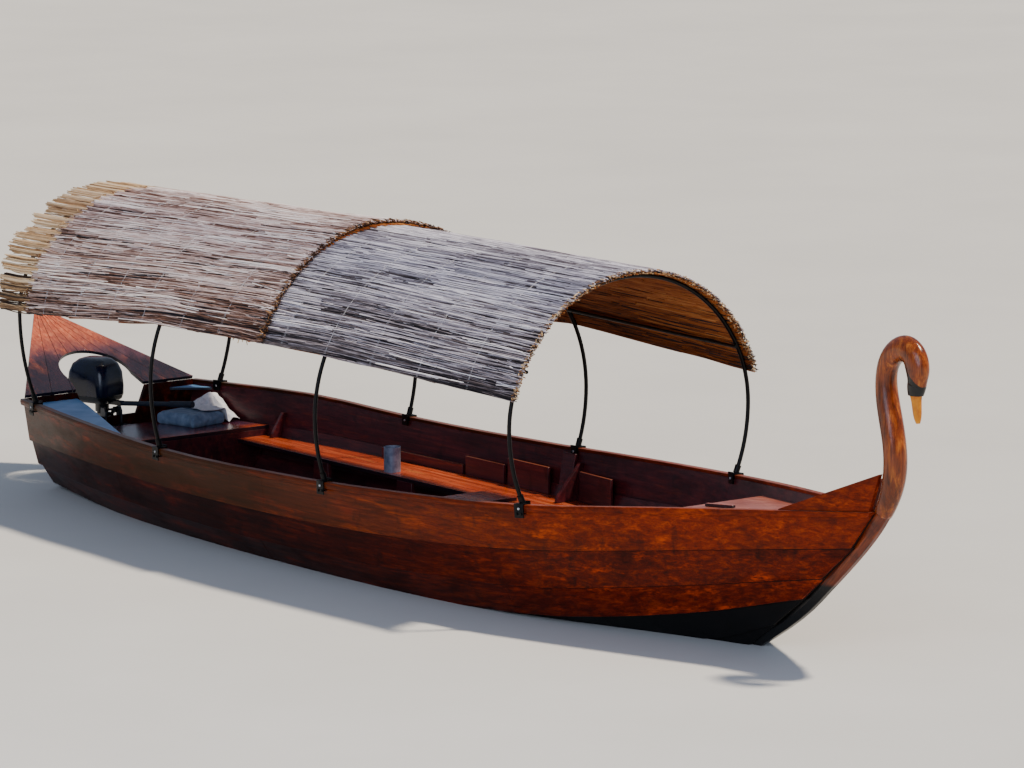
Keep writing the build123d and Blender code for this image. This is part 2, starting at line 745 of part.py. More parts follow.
def quarter_decks():
    """Deck over the starboard quarter with a coaming under its inner edge, and a small port knee."""
    low = QUARTER_Z - QUARTER_T
    aft = TRANSOM_X + TRANSOM_T + SEAM
    edge = plan_edge(aft, QUARTER_TIP, low)
    corner = QUARTER_CORNER
    tip = edge[-1]
    deck = slab([(x, -y) for x, y in edge] + [(corner[0], -corner[1]), (aft, -NOTCH_TOP)], low, QUARTER_T)
    run = (tip[0] - corner[0], tip[1] - corner[1])
    ends = [(corner[0] + run[0] * t, corner[1] + run[1] * t) for t in (0.01, 0.8)]
    side = [(x, -y - 8) for x, y in ends] + [(x, -y - 8 - COAMING_T) for x, y in reversed(ends)]
    coaming = slab(side, low - COAMING_DROP, COAMING_DROP - SEAM)
    short = plan_edge(aft, PORT_KNEE_X, low)
    knee_plate = slab(short + [(aft, short[0][1] - 190)], low, QUARTER_T)
    return [deck, coaming, knee_plate]


def deck_height(x):
    return sheer(x)[1] - DECK_DROP


def foredeck():
    rings = []
    start, end = FOREDECK_X
    for x in [start, 2400, 2700, 3000, 3300, end]:
        z = deck_height(x)
        y = half_breadth(x, z - FOREDECK_T, 2)
        rings.append([(x, -y, z - FOREDECK_T), (x, y, z - FOREDECK_T), (x, y, z), (x, -y, z)])
    deck = ring_loft(rings)
    high = deck_height(start) - FOREDECK_T - SEAM
    low = high - 60
    port = inner_section(start + 24, low, high, 0.6)
    beam = section_plate(port + [(-y, z) for y, z in reversed(port)], start, 24)
    a, b = deck_height(2190) + 1, deck_height(2430) + 1
    batten = side_plate([(2190, a), (2430, b), (2430, b + 16), (2190, a + 16)], 100, 26)
    return [deck, beam, batten]


# outboard

def steered(shape):
    return shape.rotate(Axis((STEER_X, 0, 0), (0, 0, 1)), STEER_REST)


def clamp_bracket():
    """Two hooked cheeks over the transom, the tilt pin and two clamp screws."""
    back = TRANSOM_X - SEAM
    front = TRANSOM_X + TRANSOM_T + SEAM
    seat = NOTCH_Z + SEAM
    outline = [(back - 9, seat - 85), (back, seat - 85), (back, seat), (front, seat), (front, seat - 90),
               (front + 14, seat - 90), (front + 18, seat + 30), (TILT_X + 20, TILT_Z + 16),
               (TILT_X - 18, TILT_Z + 16), (back - 9, seat + 18)]
    pieces = [rod((TILT_X, -66, TILT_Z), (TILT_X, 66, TILT_Z), PIN_R)]
    for side in (-1, 1):
        pieces.append(side_plate(outline, side * 60 - 6, 12))
        pieces.append(rod((front + 10, side * 60, seat - 55), (front + 70, side * 60, seat - 55), 9))
        pieces.append(box((front + 62, front + 72), (side * 60 - 34, side * 60 + 34), (seat - 60, seat - 50)))
    bridge = box((front, front + 14), (-60, 60), (seat - 90, seat - 60))
    return joined(*pieces, bridge)


def swivel_bracket():
    """Steering tube with two arms up to the tilt pin."""
    tube = rod((STEER_X, 0, TUBE_Z[0]), (STEER_X, 0, TUBE_Z[1]), TUBE_OUT)
    outline = [(STEER_X, TUBE_Z[0] + 70), (STEER_X + 28, TUBE_Z[0] + 70), (TRANSOM_X - 20, NOTCH_Z + 4),
               (TILT_X + 6, TILT_Z - 17), (TILT_X + 14, TILT_Z + 6), (TILT_X, TILT_Z + 16),
               (TILT_X - 20, TILT_Z + 12), (STEER_X + 54, TUBE_Z[1] - 8), (STEER_X, TUBE_Z[1] - 8)]
    body = joined(tube, *[side_plate(outline, side * 36 - 8, 16) for side in (-1, 1)])
    body = body.cut(rod((TILT_X, -50, TILT_Z), (TILT_X, 50, TILT_Z), PIN_R + SEAM),
                    rod((STEER_X, 0, TUBE_Z[0] - 5), (STEER_X, 0, TUBE_Z[1] + 5), TUBE_IN + SEAM))
    return body.solids()[0]


def blade_ring(z, nose, tail, half):
    """Section of the leg at a height: nose and tail along x, half width between them."""
    x = STEER_X
    mid = lerp(nose, tail, 0.35)
    return [(x + nose, 0, z), (x + lerp(nose, mid, 0.5), half * 0.8, z), (x + mid, half, z),
            (x + lerp(mid, tail, 0.6), half * 0.65, z), (x + tail, 3, z), (x + tail, -3, z),
            (x + lerp(mid, tail, 0.6), -half * 0.65, z), (x + mid, -half, z),
            (x + lerp(nose, mid, 0.5), -half * 0.8, z)]


def engine_leg():
    """Shaft in the steering tube, tapered leg, splash plate, gearcase and skeg."""
    x = STEER_X
    shaft = rod((x, 0, TUBE_Z[0] - 8), (x, 0, PAN_Z - SEAM), TUBE_IN)
    collar = rod((x, 0, TUBE_Z[1] + SEAM), (x, 0, PAN_Z - SEAM), 46)
    column = ring_loft([blade_ring(TUBE_Z[0] - SEAM, 48, -70, 34), blade_ring(60, 46, -78, 27),
                        blade_ring(PROP_Z + 10, 48, -84, 20)])
    plate = slab([(x + 28, -30), (x + 28, 30), (x - 20, 62), (x - 190, 70), (x - 215, 40), (x - 215, -40),
                  (x - 190, -70), (x - 20, -62)], -96, 7)
    case = Solid.revolve(face_of([(x + 92, 0, PROP_Z), (x + 78, 0, PROP_Z + 20), (x + 40, 0, PROP_Z + 33),
                                  (x - 60, 0, PROP_Z + 34), (x + PROP_X + SEAM, 0, PROP_Z + 27),
                                  (x + PROP_X + SEAM, 0, PROP_Z)]), 360, Axis((x, 0, PROP_Z), (1, 0, 0)))
    skeg = side_plate([(x + 40, PROP_Z - 25), (x - 70, PROP_Z - 25), (x - 96, PROP_Z - 128),
                       (x - 62, PROP_Z - 128)], -4, 8)
    return steered(joined(column, shaft, collar, plate, case, skeg))


def rounded_ring(z, nose, tail, half, corner):
    """Rounded rectangle at a height as lines and arcs."""
    sketch = Rectangle(nose - tail, 2 * half)
    sketch = fillet(sketch.vertices(), corner)
    return Pos(STEER_X + (nose + tail) / 2, 0, z) * sketch


def cowl_lower():
    rings = [rounded_ring(PAN_Z, 78, -170, 84, 40), rounded_ring(520, 102, -198, 112, 50),
             rounded_ring(COWL_Z[0] - SEAM, 108, -212, 122, 56)]
    pan = loft(rings, ruled=True).solids()[0]
    lug = box((STEER_X + 70, STEER_X + HINGE_X - 20), (-24, 24), (HINGE_Z - 12, HINGE_Z + 14))
    hinge = STEER_X + HINGE_X
    outline = [(hinge - 24, HINGE_Z - 12), (hinge, HINGE_Z - 14), (hinge + 14, HINGE_Z), (hinge, HINGE_Z + 14),
               (hinge - 24, HINGE_Z + 14)]
    ears = [side_plate(outline, y, 10) for y in (-24, 14)]
    return steered(joined(pan, lug, *ears, rod((hinge, -22, HINGE_Z), (hinge, 22, HINGE_Z), 5)))


def cowl_upper():
    low, high = COWL_Z
    rings = [rounded_ring(low, 110, -214, 125, 58), rounded_ring(low + 60, 113, -218, 127, 62),
             rounded_ring(high - 92, 104, -206, 122, 62), rounded_ring(high - 40, 84, -186, 108, 62),
             rounded_ring(high - 10, 48, -148, 84, 56), rounded_ring(high, 16, -118, 58, 44)]
    return steered(loft(rings, ruled=True).solids()[0])


def propeller():
    x = STEER_X + PROP_X
    hub = Solid.make_cone(27, 20, 62, Plane(Vector(x, 0, PROP_Z), z_dir=Vector(-1, 0, 0)))
    blades = []
    for i in range(3):
        twist = [(12, 30, 56), (60, 46, 36), (92, 42, 26), (PROP_R, 18, 22)]
        rings = []
        for radius, chord, pitch in twist:
            a = radians(pitch)
            mid = Vector(x - 32, 0, PROP_Z + radius)
            run = Vector(-sin(a), cos(a), 0) * (chord / 2)
            thick = Vector(cos(a), sin(a), 0) * 2.5
            rings.append([tuple(mid - run - thick * 0.4), tuple(mid - thick), tuple(mid + run - thick * 0.4),
                          tuple(mid + run + thick * 0.4), tuple(mid + thick), tuple(mid - run + thick * 0.4)])
        blades.append(ring_loft(rings).rotate(Axis((x, 0, PROP_Z), (1, 0, 0)), 120 * i))
    return steered(joined(hub, *blades))


def tiller():
    start = Vector(STEER_X + HINGE_X, 0, HINGE_Z)
    end = Vector(STEER_X + TILLER_END[0], 0, TILLER_END[1])
    way = (end - start).normalized()
    boss = rod((start.X, -13.5, start.Z), (start.X, 13.5, start.Z), 13)
    arm = rod(start + way * 8, end - way * 178, 13)
    grip = rod(end - way * 180, end, 18)
    body = joined(boss, arm, grip).cut(rod((start.X, -20, start.Z), (start.X, 20, start.Z), 5 + SEAM))
    return steered(body.solids()[0])


# loose things

def cushion():
    length, width, thick = CUSHION
    pad = Pos(*CUSHION_PLACE, SEAT_TOP + SEAM + thick / 2) * Rot(0, 0, CUSHION_TURN) * Box(length, width, thick)
    return fillet(pad.edges(), thick / 3).solids()[0]


def throw():
    """Folded throw leaning on the port side behind the cushion."""
    start, end = THROW_X
    drape = lining(start, end - start, SEAT_TOP + SEAM, THROW_TOP, THROW_T, 5)
    corner = side_plate([(start + 80, THROW_TOP + 1), (end + 10, SEAT_TOP + 25), (end + 10, THROW_TOP + 20),
                         (start + 80, THROW_TOP + 20)], 0, 900)
    return (drape - corner).solids()[0]


def bailing_can():
    foot = Vector(CAN_PLACE[0], CAN_PLACE[1], BENCH_TOP + SEAM)
    can = Solid.make_cylinder(CAN_R, CAN_TALL, Plane(foot))
    return can.cut(Solid.make_cylinder(CAN_R - CAN_WALL, CAN_TALL, Plane(foot + Vector(0, 0, 6)))).solids()[0]


for k, name in enumerate(["garboards", "bottom_strakes", "middle_strakes", "upper_strakes", "sheer_strakes"]):
    port = strake(k)
    save(name, *port, *[mirrored(board) for board in port])
save("keel_plank", keel())
save("stem_post", stem())
save("transom", transom())
port_rail = rail()
save("gunwales", port_rail, mirrored(port_rail))
port_board = breast_board()
save("breast_boards", port_board, mirrored(port_board))
save("swan_neck", ellipse_loft(NECK))
save("beak_base", ellipse_loft(BEAK_BASE))
save("beak", ellipse_loft(BEAK))
save("tail_fan", *tail_fan())

save("floor_timbers", *[floor_timber(x) for x in (-2800, -1800, -600, 600, 1200)])
save("floorboards", *floorboards())
port_bench = bench()
save("benches", *port_bench, *[mirrored(board) for board in port_bench])
supports = [bench_support(x) for x in SUPPORT_X]
save("bench_supports", *supports, *[mirrored(s) for s in supports])
boards = [backboard(*row) for row in BACKBOARDS]
save("backboards", *boards, *[mirrored(b) for b in boards])
rib_top = sheer(sum(RIB_X) / 2)[1] - 12
ribs = [lining(RIB_X[0], RIB_X[1] - RIB_X[0], BENCH_TOP + SEAM, rib_top, KNEE_T)] + [knee(*row) for row in KNEES]
save("side_ribs", *ribs, *[mirrored(r) for r in ribs])
save("thwart", box(THWART_X, (-THWART_REACH, THWART_REACH), (BENCH_TOP + SEAM, BENCH_TOP + SEAM + THWART_T)))
save("helm_seat", helm_seat())
save("helm_panels", helm_panel(SEAT_X[1] - PANEL_T), helm_panel(SEAT_X[0]))
save("quarter_decks", *quarter_decks())
save("foredeck", *foredeck())

for i, row in enumerate(HOOPS):
    save(f"hoop_{i + 1}", hoop(row))
save("hoop_clamps", *[clamp(row, side) for row in HOOPS for side in (-1, 1)])
save("purlins", purlin(1), purlin(-1))
save("reed_mat_aft", mat(*AFT_MAT))
save("reed_mat_fore", mat(*FORE_MAT))

save("clamp_bracket", clamp_bracket())
save("swivel_bracket", swivel_bracket())
save("engine_leg", engine_leg())
save("cowl_lower", cowl_lower())
save("cowl_upper", cowl_upper())
save("propeller", propeller())
save("tiller", tiller())

save("helm_cushion", cushion())
save("throw", throw())
save("bailing_can", bailing_can())
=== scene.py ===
"""Looks for a lapstrake lake boat with a swan figurehead, a reed canopy and a small outboard.

Metres, +X towards the bow, +Y to port, +Z up, with the water plane at z = 0.
"""

import math
import random

import bmesh
import bpy
from mathutils import Matrix, Vector, noise


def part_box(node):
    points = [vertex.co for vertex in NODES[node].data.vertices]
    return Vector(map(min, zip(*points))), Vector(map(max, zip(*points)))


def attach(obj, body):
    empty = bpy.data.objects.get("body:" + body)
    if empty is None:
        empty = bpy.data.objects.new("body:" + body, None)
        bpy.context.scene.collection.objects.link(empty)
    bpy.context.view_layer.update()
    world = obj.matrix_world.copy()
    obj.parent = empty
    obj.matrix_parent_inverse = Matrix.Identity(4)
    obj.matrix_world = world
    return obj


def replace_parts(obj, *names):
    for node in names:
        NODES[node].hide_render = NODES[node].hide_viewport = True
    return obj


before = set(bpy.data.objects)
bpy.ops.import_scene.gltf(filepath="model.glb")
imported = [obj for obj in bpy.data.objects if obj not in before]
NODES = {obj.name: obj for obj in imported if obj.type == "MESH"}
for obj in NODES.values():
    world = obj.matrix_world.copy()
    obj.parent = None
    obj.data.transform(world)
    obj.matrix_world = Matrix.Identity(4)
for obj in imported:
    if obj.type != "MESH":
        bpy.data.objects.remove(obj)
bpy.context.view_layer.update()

bl_info = {
    "name": "Swan lake boat",
    "version": (1, 0, 0),
    "blender": (4, 5, 0),
    "location": "View3D > Sidebar > Boat",
    "description": "Builds the looks of a lapstrake rowing boat with a reed canopy",
    "category": "Add Mesh",
}

# Hoops: x, half widest, height of the widest, top, radius of the shoulder, eave height of the mats.
HOOPS = [
    (-3.600, 0.806, 1.180, 1.900, 0.650, 1.190),
    (-1.800, 0.985, 0.970, 1.925, 0.920, 1.325),
    (-0.050, 0.985, 0.985, 1.922, 0.905, 1.345),
    (1.650, 0.850, 1.120, 1.917, 0.700, 1.290),
]

# Reed mats: where they start and end, and their layers from the inside out, as distance from the
# middle of the hoops' tube, how much darker than the top, and pitch of the reeds.
AFT_MAT = (-3.900, -0.707)
FORE_MAT = (-0.693, 1.715)
AFT_LAYERS = ((0.030, 0.25, 0.0086), (0.0345, 0.1, 0.0078), (0.0375, -0.08, 0.0080))
FORE_LAYERS = ((0.030, 0.25, 0.0086), (0.0345, 0.1, 0.0078), (0.0375, -0.06, 0.0080))
LINING = (0.0175, 0.0, 0.0090)
MAT_IN = 0.0123        # inner face of the mats, out from the middle of the hoops' tube
GIRTH = 2.6            # round a mat, from eave to eave
EDGE = 0.995           # how near the outermost reeds come to the eaves, as a share
BUNDLED = 0.45         # stretch at the aft mat's outer end that is tied in bundles
LAPPED = 0.12          # how far the fore mat runs in under the aft one

# Throw: the peak of its heap, its fall ahead, behind, to the near and to the far side, its corners,
# the seat below it, the top of the cushion under its near edge, and the cushion's edges there.
THROW_PEAK = Vector((-3.575, 0.600, 0.548))
THROW_FALL = (0.56, 0.5, 0.42, 0.25)
THROW_CORNERS = ((-3.640, 0.400), (-3.315, 0.660))
THROW_SEAT = 0.384
THROW_ON_CUSHION = 0.474
CUSHION_EDGES = (-3.24, 0.575)

# Camera: its place, its right and up, the sensor's width in millimetres, and the focal length and the
# picture's width in pixels.
CAMERA_PLACE = (24.56279, -17.81147, 5.93704)
CAMERA_RIGHT = Vector((0.596380, 0.802671, -0.007139))
CAMERA_UP = Vector((-0.122212, 0.099585, 0.987495))
SENSOR = 36
FOCAL = 5235.19
PICTURE = 1024

# The floor lies at the water plane, open where the hull goes through it.
STRAKES = ("garboards", "bottom_strakes", "middle_strakes", "upper_strakes", "sheer_strakes")
HULL_AT_WATER = (-3.825, 2.740)
FLOOR_RADIUS = 400

# colours and materials

def linear(colour):
    """The linear RGBA of an sRGB hex value. A colour that is linear already comes back as it is."""
    if not isinstance(colour, str):
        return tuple(colour)
    parts = [int(colour[i:i + 2], 16) / 255 for i in (1, 3, 5)]
    return tuple(c / 12.92 if c <= 0.04045 else ((c + 0.055) / 1.055) ** 2.4 for c in parts) + (1.0,)


def add(tree, kind, settings=None, links=None, ramp=None):
    """Add a node, set its properties or sockets and link its inputs from (node, output) pairs."""
    node = tree.nodes.new(kind)
    for key, value in (settings or {}).items():
        if isinstance(key, str) and hasattr(node, key):
            setattr(node, key, value)
        else:
            node.inputs[key].default_value = value
    for key, (source, output) in (links or {}).items():
        tree.links.new(source.outputs[output], node.inputs[key])
    if ramp:
        stops = node.color_ramp.elements
        while len(stops) < len(ramp):
            stops.new(0.5)
        for stop, (place, colour) in zip(stops, ramp):
            stop.position = place
            stop.color = linear(colour)
    return node


def surface(name, settings=None):
    """A new material with its node tree, its Principled shader and its object coordinates."""
    material = bpy.data.materials.new(name)
    material.use_nodes = True
    tree = material.node_tree
    tree.nodes.clear()
    shader = add(tree, "ShaderNodeBsdfPrincipled", settings)
    add(tree, "ShaderNodeOutputMaterial", links={"Surface": (shader, "BSDF")})
    place = add(tree, "ShaderNodeTexCoord")
    return material, tree, shader, place


def mask(tree, place, sizes, low, high, most=1.0, detail=4.0):
    """Strength of patches of these sizes in millimetres: 0 where noise is below low, most above high."""
    space = add(tree, "ShaderNodeMapping", {"Scale": [1000 / size for size in sizes]}, {"Vector": place})
    field = add(tree, "ShaderNodeTexNoise", {"Scale": 1.0, "Detail": detail, "Roughness": 0.65},
                {"Vector": (space, "Vector")})
    return add(tree, "ShaderNodeMapRange", {"From Min": low, "From Max": high, "To Max": most},
               {"Value": (field, "Fac")}), "Result"


def over(tree, under, colour, amount):
    """Lay a colour over a linked one by a linked amount."""
    settings = {"data_type": "RGBA", 7: linear(colour)}
    return add(tree, "ShaderNodeMix", settings, {0: amount, 6: under}), 2


def times(tree, first, second):
    """The product of two linked values."""
    return add(tree, "ShaderNodeMath", {"operation": "MULTIPLY"}, {0: first, 1: second}), "Value"


def beyond(tree, place, point, normal, soft):
    """1 on the side of a plane that its normal points to, 0 on the other, over a soft edge."""
    apart = add(tree, "ShaderNodeVectorMath", {"operation": "SUBTRACT", 1: point}, {0: place})
    reach = add(tree, "ShaderNodeVectorMath", {"operation": "DOT_PRODUCT", 1: normal},
                {0: (apart, "Vector")})
    return add(tree, "ShaderNodeMapRange", {"From Min": -soft, "From Max": soft},
               {"Value": (reach, "Value")}), "Result"


def grained(name, dark, middle, light, across=22, along=620, spread=1.0, roughness=0.42, coat=0.15,
            stain="#2a1712", stained=0.35, turn=(0, 0, 0), grain=0.5, shine=0.4, worn=None,
            worn_from=0.56, aft=None, drift=(0.6, -3.4), black=()):
    """Timber with its grain along X.

    across and along are the widths of the figure in millimetres, spread how far its tones reach, worn the
    colour of rubbed patches, aft the colour that it drifts to between two values of x, and black lists the
    planes, as point, normal and soft edge, that black paint lies beyond. The drift to aft is weathering on
    the rail, painted shade on the planking, a painted reflection of the sky on the helm seat and a painted
    shadow on the tail.
    """
    material, tree, shader, place = surface(
        name, {"Coat Weight": coat, "Coat Roughness": 0.2, "IOR": 1.5, "Specular IOR Level": shine})
    here = (place, "Object")
    turned = add(tree, "ShaderNodeMapping", {"Rotation": turn}, {"Vector": here}), "Vector"
    fibre_space = add(tree, "ShaderNodeMapping", {"Scale": (1000 / along, 1000 / across, 1000 / across)},
                      {"Vector": turned})
    figure = add(tree, "ShaderNodeTexNoise",
                 {"Scale": 1.0, "Detail": 6.0, "Roughness": 0.66, "Distortion": 0.5},
                 {"Vector": (fibre_space, "Vector")})
    half = 0.24 * spread
    tones = add(tree, "ShaderNodeValToRGB", None, {"Fac": (figure, "Fac")},
                [(0.5 - half, dark), (0.5, middle), (0.5 + half, light)])
    stains = mask(tree, turned, (625, 181.8, 181.8), 0.46, 0.70, stained)
    # The wood's fibres, drawn 4 mm apart so that they show.
    fibres = mask(tree, turned, (along / 2.2, 4.1667, 4.1667), 0.40, 0.66, grain, 3.0)
    colour = over(tree, over(tree, (tones, "Color"), stain, stains), dark, fibres)
    if worn:
        patches = mask(tree, turned, (769.2, 76.92, 76.92), worn_from, worn_from + 0.14, 0.85, 3.0)
        ragged = mask(tree, turned, (285.7, 12.5, 12.5), 0.36, 0.60, 1.0, 2.0)
        soot = mask(tree, turned, (111.1, 71.43, 166.7), 0.56, 0.72, 0.6, 3.0)
        colour = over(tree, colour, worn, times(tree, patches, ragged))
        colour = over(tree, colour, stain, soot)
    if aft:
        run = add(tree, "ShaderNodeSeparateXYZ", None, {"Vector": here})
        along_hull = add(tree, "ShaderNodeMapRange",
                         {"From Min": drift[0], "From Max": drift[1], "To Max": 0.85},
                         {"Value": (run, "X")}), "Result"
        uneven = mask(tree, turned, (500, 111.1, 111.1), 0.22, 0.5)
        colour = over(tree, colour, aft, times(tree, along_hull, uneven))
    if black:
        amount = beyond(tree, here, *black[0])
        for plane in black[1:]:
            amount = times(tree, amount, beyond(tree, here, *plane))
        colour = over(tree, colour, "#050506", amount)
    tree.links.new(colour[0].outputs[colour[1]], shader.inputs["Base Color"])
    gloss = add(tree, "ShaderNodeMapRange", {"To Min": roughness - 0.1, "To Max": roughness + 0.18},
                {"Value": stains})
    tree.links.new(gloss.outputs["Result"], shader.inputs["Roughness"])
    relief = add(tree, "ShaderNodeBump", {"Strength": 0.4, "Distance": 0.0012}, {"Height": fibres})
    tree.links.new(relief.outputs["Normal"], shader.inputs["Normal"])
    return material


def even(name, base, other, size, roughness, metallic=0.0, coat=0.0, relief=0.0, speck=0.0, shine=0.5):
    """A paint, plastic, metal or cloth whose tone drifts between two colours.

    size is that of the drift, and speck that of the relief, in millimetres. Grit and threads are finer than
    their speck, and are drawn that coarse so that they show.
    """
    material, tree, shader, place = surface(
        name, {"Metallic": metallic, "Coat Weight": coat, "Coat Roughness": 0.1, "Specular IOR Level": shine})
    here = (place, "Object")
    drift = add(tree, "ShaderNodeTexNoise", {"Scale": 1000 / size, "Detail": 5.0, "Roughness": 0.6},
                {"Vector": here})
    tones = add(tree, "ShaderNodeValToRGB", None, {"Fac": (drift, "Fac")}, [(0.35, base), (0.68, other)])
    tree.links.new(tones.outputs["Color"], shader.inputs["Base Color"])
    gloss = add(tree, "ShaderNodeMapRange", {"To Min": roughness - 0.1, "To Max": roughness + 0.12},
                {"Value": (drift, "Fac")})
    tree.links.new(gloss.outputs["Result"], shader.inputs["Roughness"])
    if relief:
        grit = add(tree, "ShaderNodeTexNoise", {"Scale": 1000 / speck, "Detail": 2.0}, {"Vector": here})
        bump = add(tree, "ShaderNodeBump", {"Strength": relief, "Distance": 0.0006},
                   {"Height": (grit, "Fac")})
        tree.links.new(bump.outputs["Normal"], shader.inputs["Normal"])
    return material


# meshes

def from_bmesh(name, bm, finishes, body="hull", smooth=35):
    """An object at the origin that rides on a body, shaded smooth below an angle in degrees."""
    mesh = bpy.data.meshes.new(name)
    bm.to_mesh(mesh)
    bm.free()
    for finish in finishes:
        mesh.materials.append(finish)
    mesh.polygons.foreach_set("use_smooth", [True] * len(mesh.polygons))
    mesh.set_sharp_from_angle(angle=math.radians(smooth))
    mesh.update()
    obj = bpy.data.objects.new(name, mesh)
    bpy.context.scene.collection.objects.link(obj)
    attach(obj, body)
    return obj


def cad_copy(*nodes):
    """One clean mesh from copies of CAD nodes, with its doubles merged and its flat faces whole."""
    bm = bmesh.new()
    for node in nodes:
        bm.from_mesh(NODES[node].data)
    bmesh.ops.remove_doubles(bm, verts=bm.verts, dist=0.00002)
    bmesh.ops.dissolve_limit(bm, angle_limit=math.radians(0.6), verts=bm.verts, edges=bm.edges)
    bmesh.ops.recalc_face_normals(bm, faces=bm.faces)
    return bm


def eased(obj, width):
    """Ease an object's arrises, as sanding or casting does."""
    bevel = obj.modifiers.new("eased", "BEVEL")
    bevel.width = width
    bevel.segments = 2
    bevel.limit_method = "ANGLE"
    bevel.angle_limit = math.radians(32)


def dressed(name, node, finishes, ease=0.0, body="hull", smooth=35, pick=None, shape=None):
    """A copy of a CAD node that stands for it, with its arrises eased. pick chooses a finish by face."""
    bm = cad_copy(node)
    if shape:
        shape(bm)
    if pick:
        for face in bm.faces:
            face.material_index = pick(face)
    obj = from_bmesh(name, bm, [FINISH[finish] for finish in finishes], body, smooth)
    if ease:
        eased(obj, ease)
    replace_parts(obj, node)


# canopy surface

def hoop_row(x):
    """The row of HOOPS at x, between the two hoops on its sides."""
    x = min(max(x, HOOPS[0][0]), HOOPS[-1][0])
    for a, b in zip(HOOPS, HOOPS[1:]):
        if x <= b[0]:
            t = (x - a[0]) / (b[0] - a[0])
            return [p + (q - p) * t for p, q in zip(a, b)]


def skin(x, share, off):
    """Point and outward direction of the canopy at x.

    share runs from -1 at the starboard eave over 0 at the crown to 1 at the port eave, and off is the
    distance out from the middle of the hoops' tube.
    """
    _, half, widest, top, shoulder, eave = hoop_row(x)
    turn = math.pi / 2 - 2 * math.atan((top - widest - shoulder) / (half - shoulder))
    reach = half - shoulder
    crown = shoulder + reach / math.cos(turn)
    peak = widest - reach * math.tan(turn)
    low = math.asin((eave - widest) / shoulder)
    crown_arc = crown * (math.pi / 2 - turn)
    girth = abs(share) * (crown_arc + shoulder * (turn - low))
    side = 1 if share >= 0 else -1
    if girth <= crown_arc:
        angle = math.pi / 2 - girth / crown
        y, z, radius = 0, peak, crown + off
    else:
        angle = turn - (girth - crown_arc) / shoulder
        y, z, radius = reach, widest, shoulder + off
    out = Vector((0, side * math.cos(angle), math.sin(angle)))
    return Vector((x, side * y, z)) + out * radius, out


def soft_step(t):
    """0 below 0 and 1 above 1, with a smooth rise between."""
    t = min(max(t, 0.0), 1.0)
    return t * t * (3 - 2 * t)


def lap_rise(x):
    """How far the aft mat lifts over its last metre, at whose end it lies over the fore mat."""
    return 0.030 * soft_step(x + 1.7)


def flat(x):
    """No lift: the mat lies on the hoops all along."""
    return 0.0


def askew(share):
    """How far the aft mat's fore end stands forward of its usual line: it was laid a little askew."""
    return 0.05 * abs(share) - 0.10 * (1 - abs(share)) ** 1.5


def square(share):
    """A mat's end that follows the hoops."""
    return 0.0


def clump(x, share):
    """Smooth drift of tone over the canopy, about -0.5 to 0.5."""
    return noise.noise(Vector((x * 2.3, share * 5.0, 0.7)))


def ridge(x, share):
    """Where reeds gather into ridges a few reeds wide, about -0.6 to 0.6; it also sets the painted highlight
    on the ridges and the painted shade between them.
    """
    wide = noise.noise(Vector((x * 2.1, share * 52.0, 3.1)))
    return wide + 0.4 * noise.noise(Vector((x * 5.0, share * 110.0, 8.0)))


# settings a user would change

class BoatFinishes(bpy.types.PropertyGroup):
    """Main colours of the boat."""

    plank: bpy.props.FloatVectorProperty(
        name="Planking", description="Middle tone of the varnished topsides", subtype="COLOR", size=4,
        min=0, max=1, default=linear("#641804"))
    bottom: bpy.props.FloatVectorProperty(
        name="Bottom paint", description="Paint below the water line", subtype="COLOR", size=4,
        min=0, max=1, default=linear("#050506"))
    reed: bpy.props.FloatVectorProperty(
        name="Reed", description="Tone of a sun-bleached reed", subtype="COLOR", size=4,
        min=0, max=1, default=linear("#d6bcb4"))
    cowl: bpy.props.FloatVectorProperty(
        name="Engine cowl", description="Gloss paint of the outboard's cowl", subtype="COLOR", size=4,
        min=0, max=1, default=linear("#010818"))


class BoatSizes(bpy.types.PropertyGroup):
    """Sizes of the pieces that the looks add."""

    reed: bpy.props.FloatProperty(
        name="Reed", description="Radius of a reed", unit="LENGTH", min=0.002, max=0.008, default=0.0033)
    reed_length: bpy.props.FloatProperty(
        name="Reed length", description="Usual length of a reed", unit="LENGTH", min=0.3, max=2.0,
        default=0.75)
    stitch: bpy.props.FloatProperty(
        name="Stitch spacing", description="Distance between the rows of stitching", unit="LENGTH", min=0.1,
        max=0.8, default=0.42)
    arris: bpy.props.FloatProperty(
        name="Arris", description="Rounding of timber edges", unit="LENGTH", min=0.0005, max=0.006,
        default=0.0025)


FINISH = {}


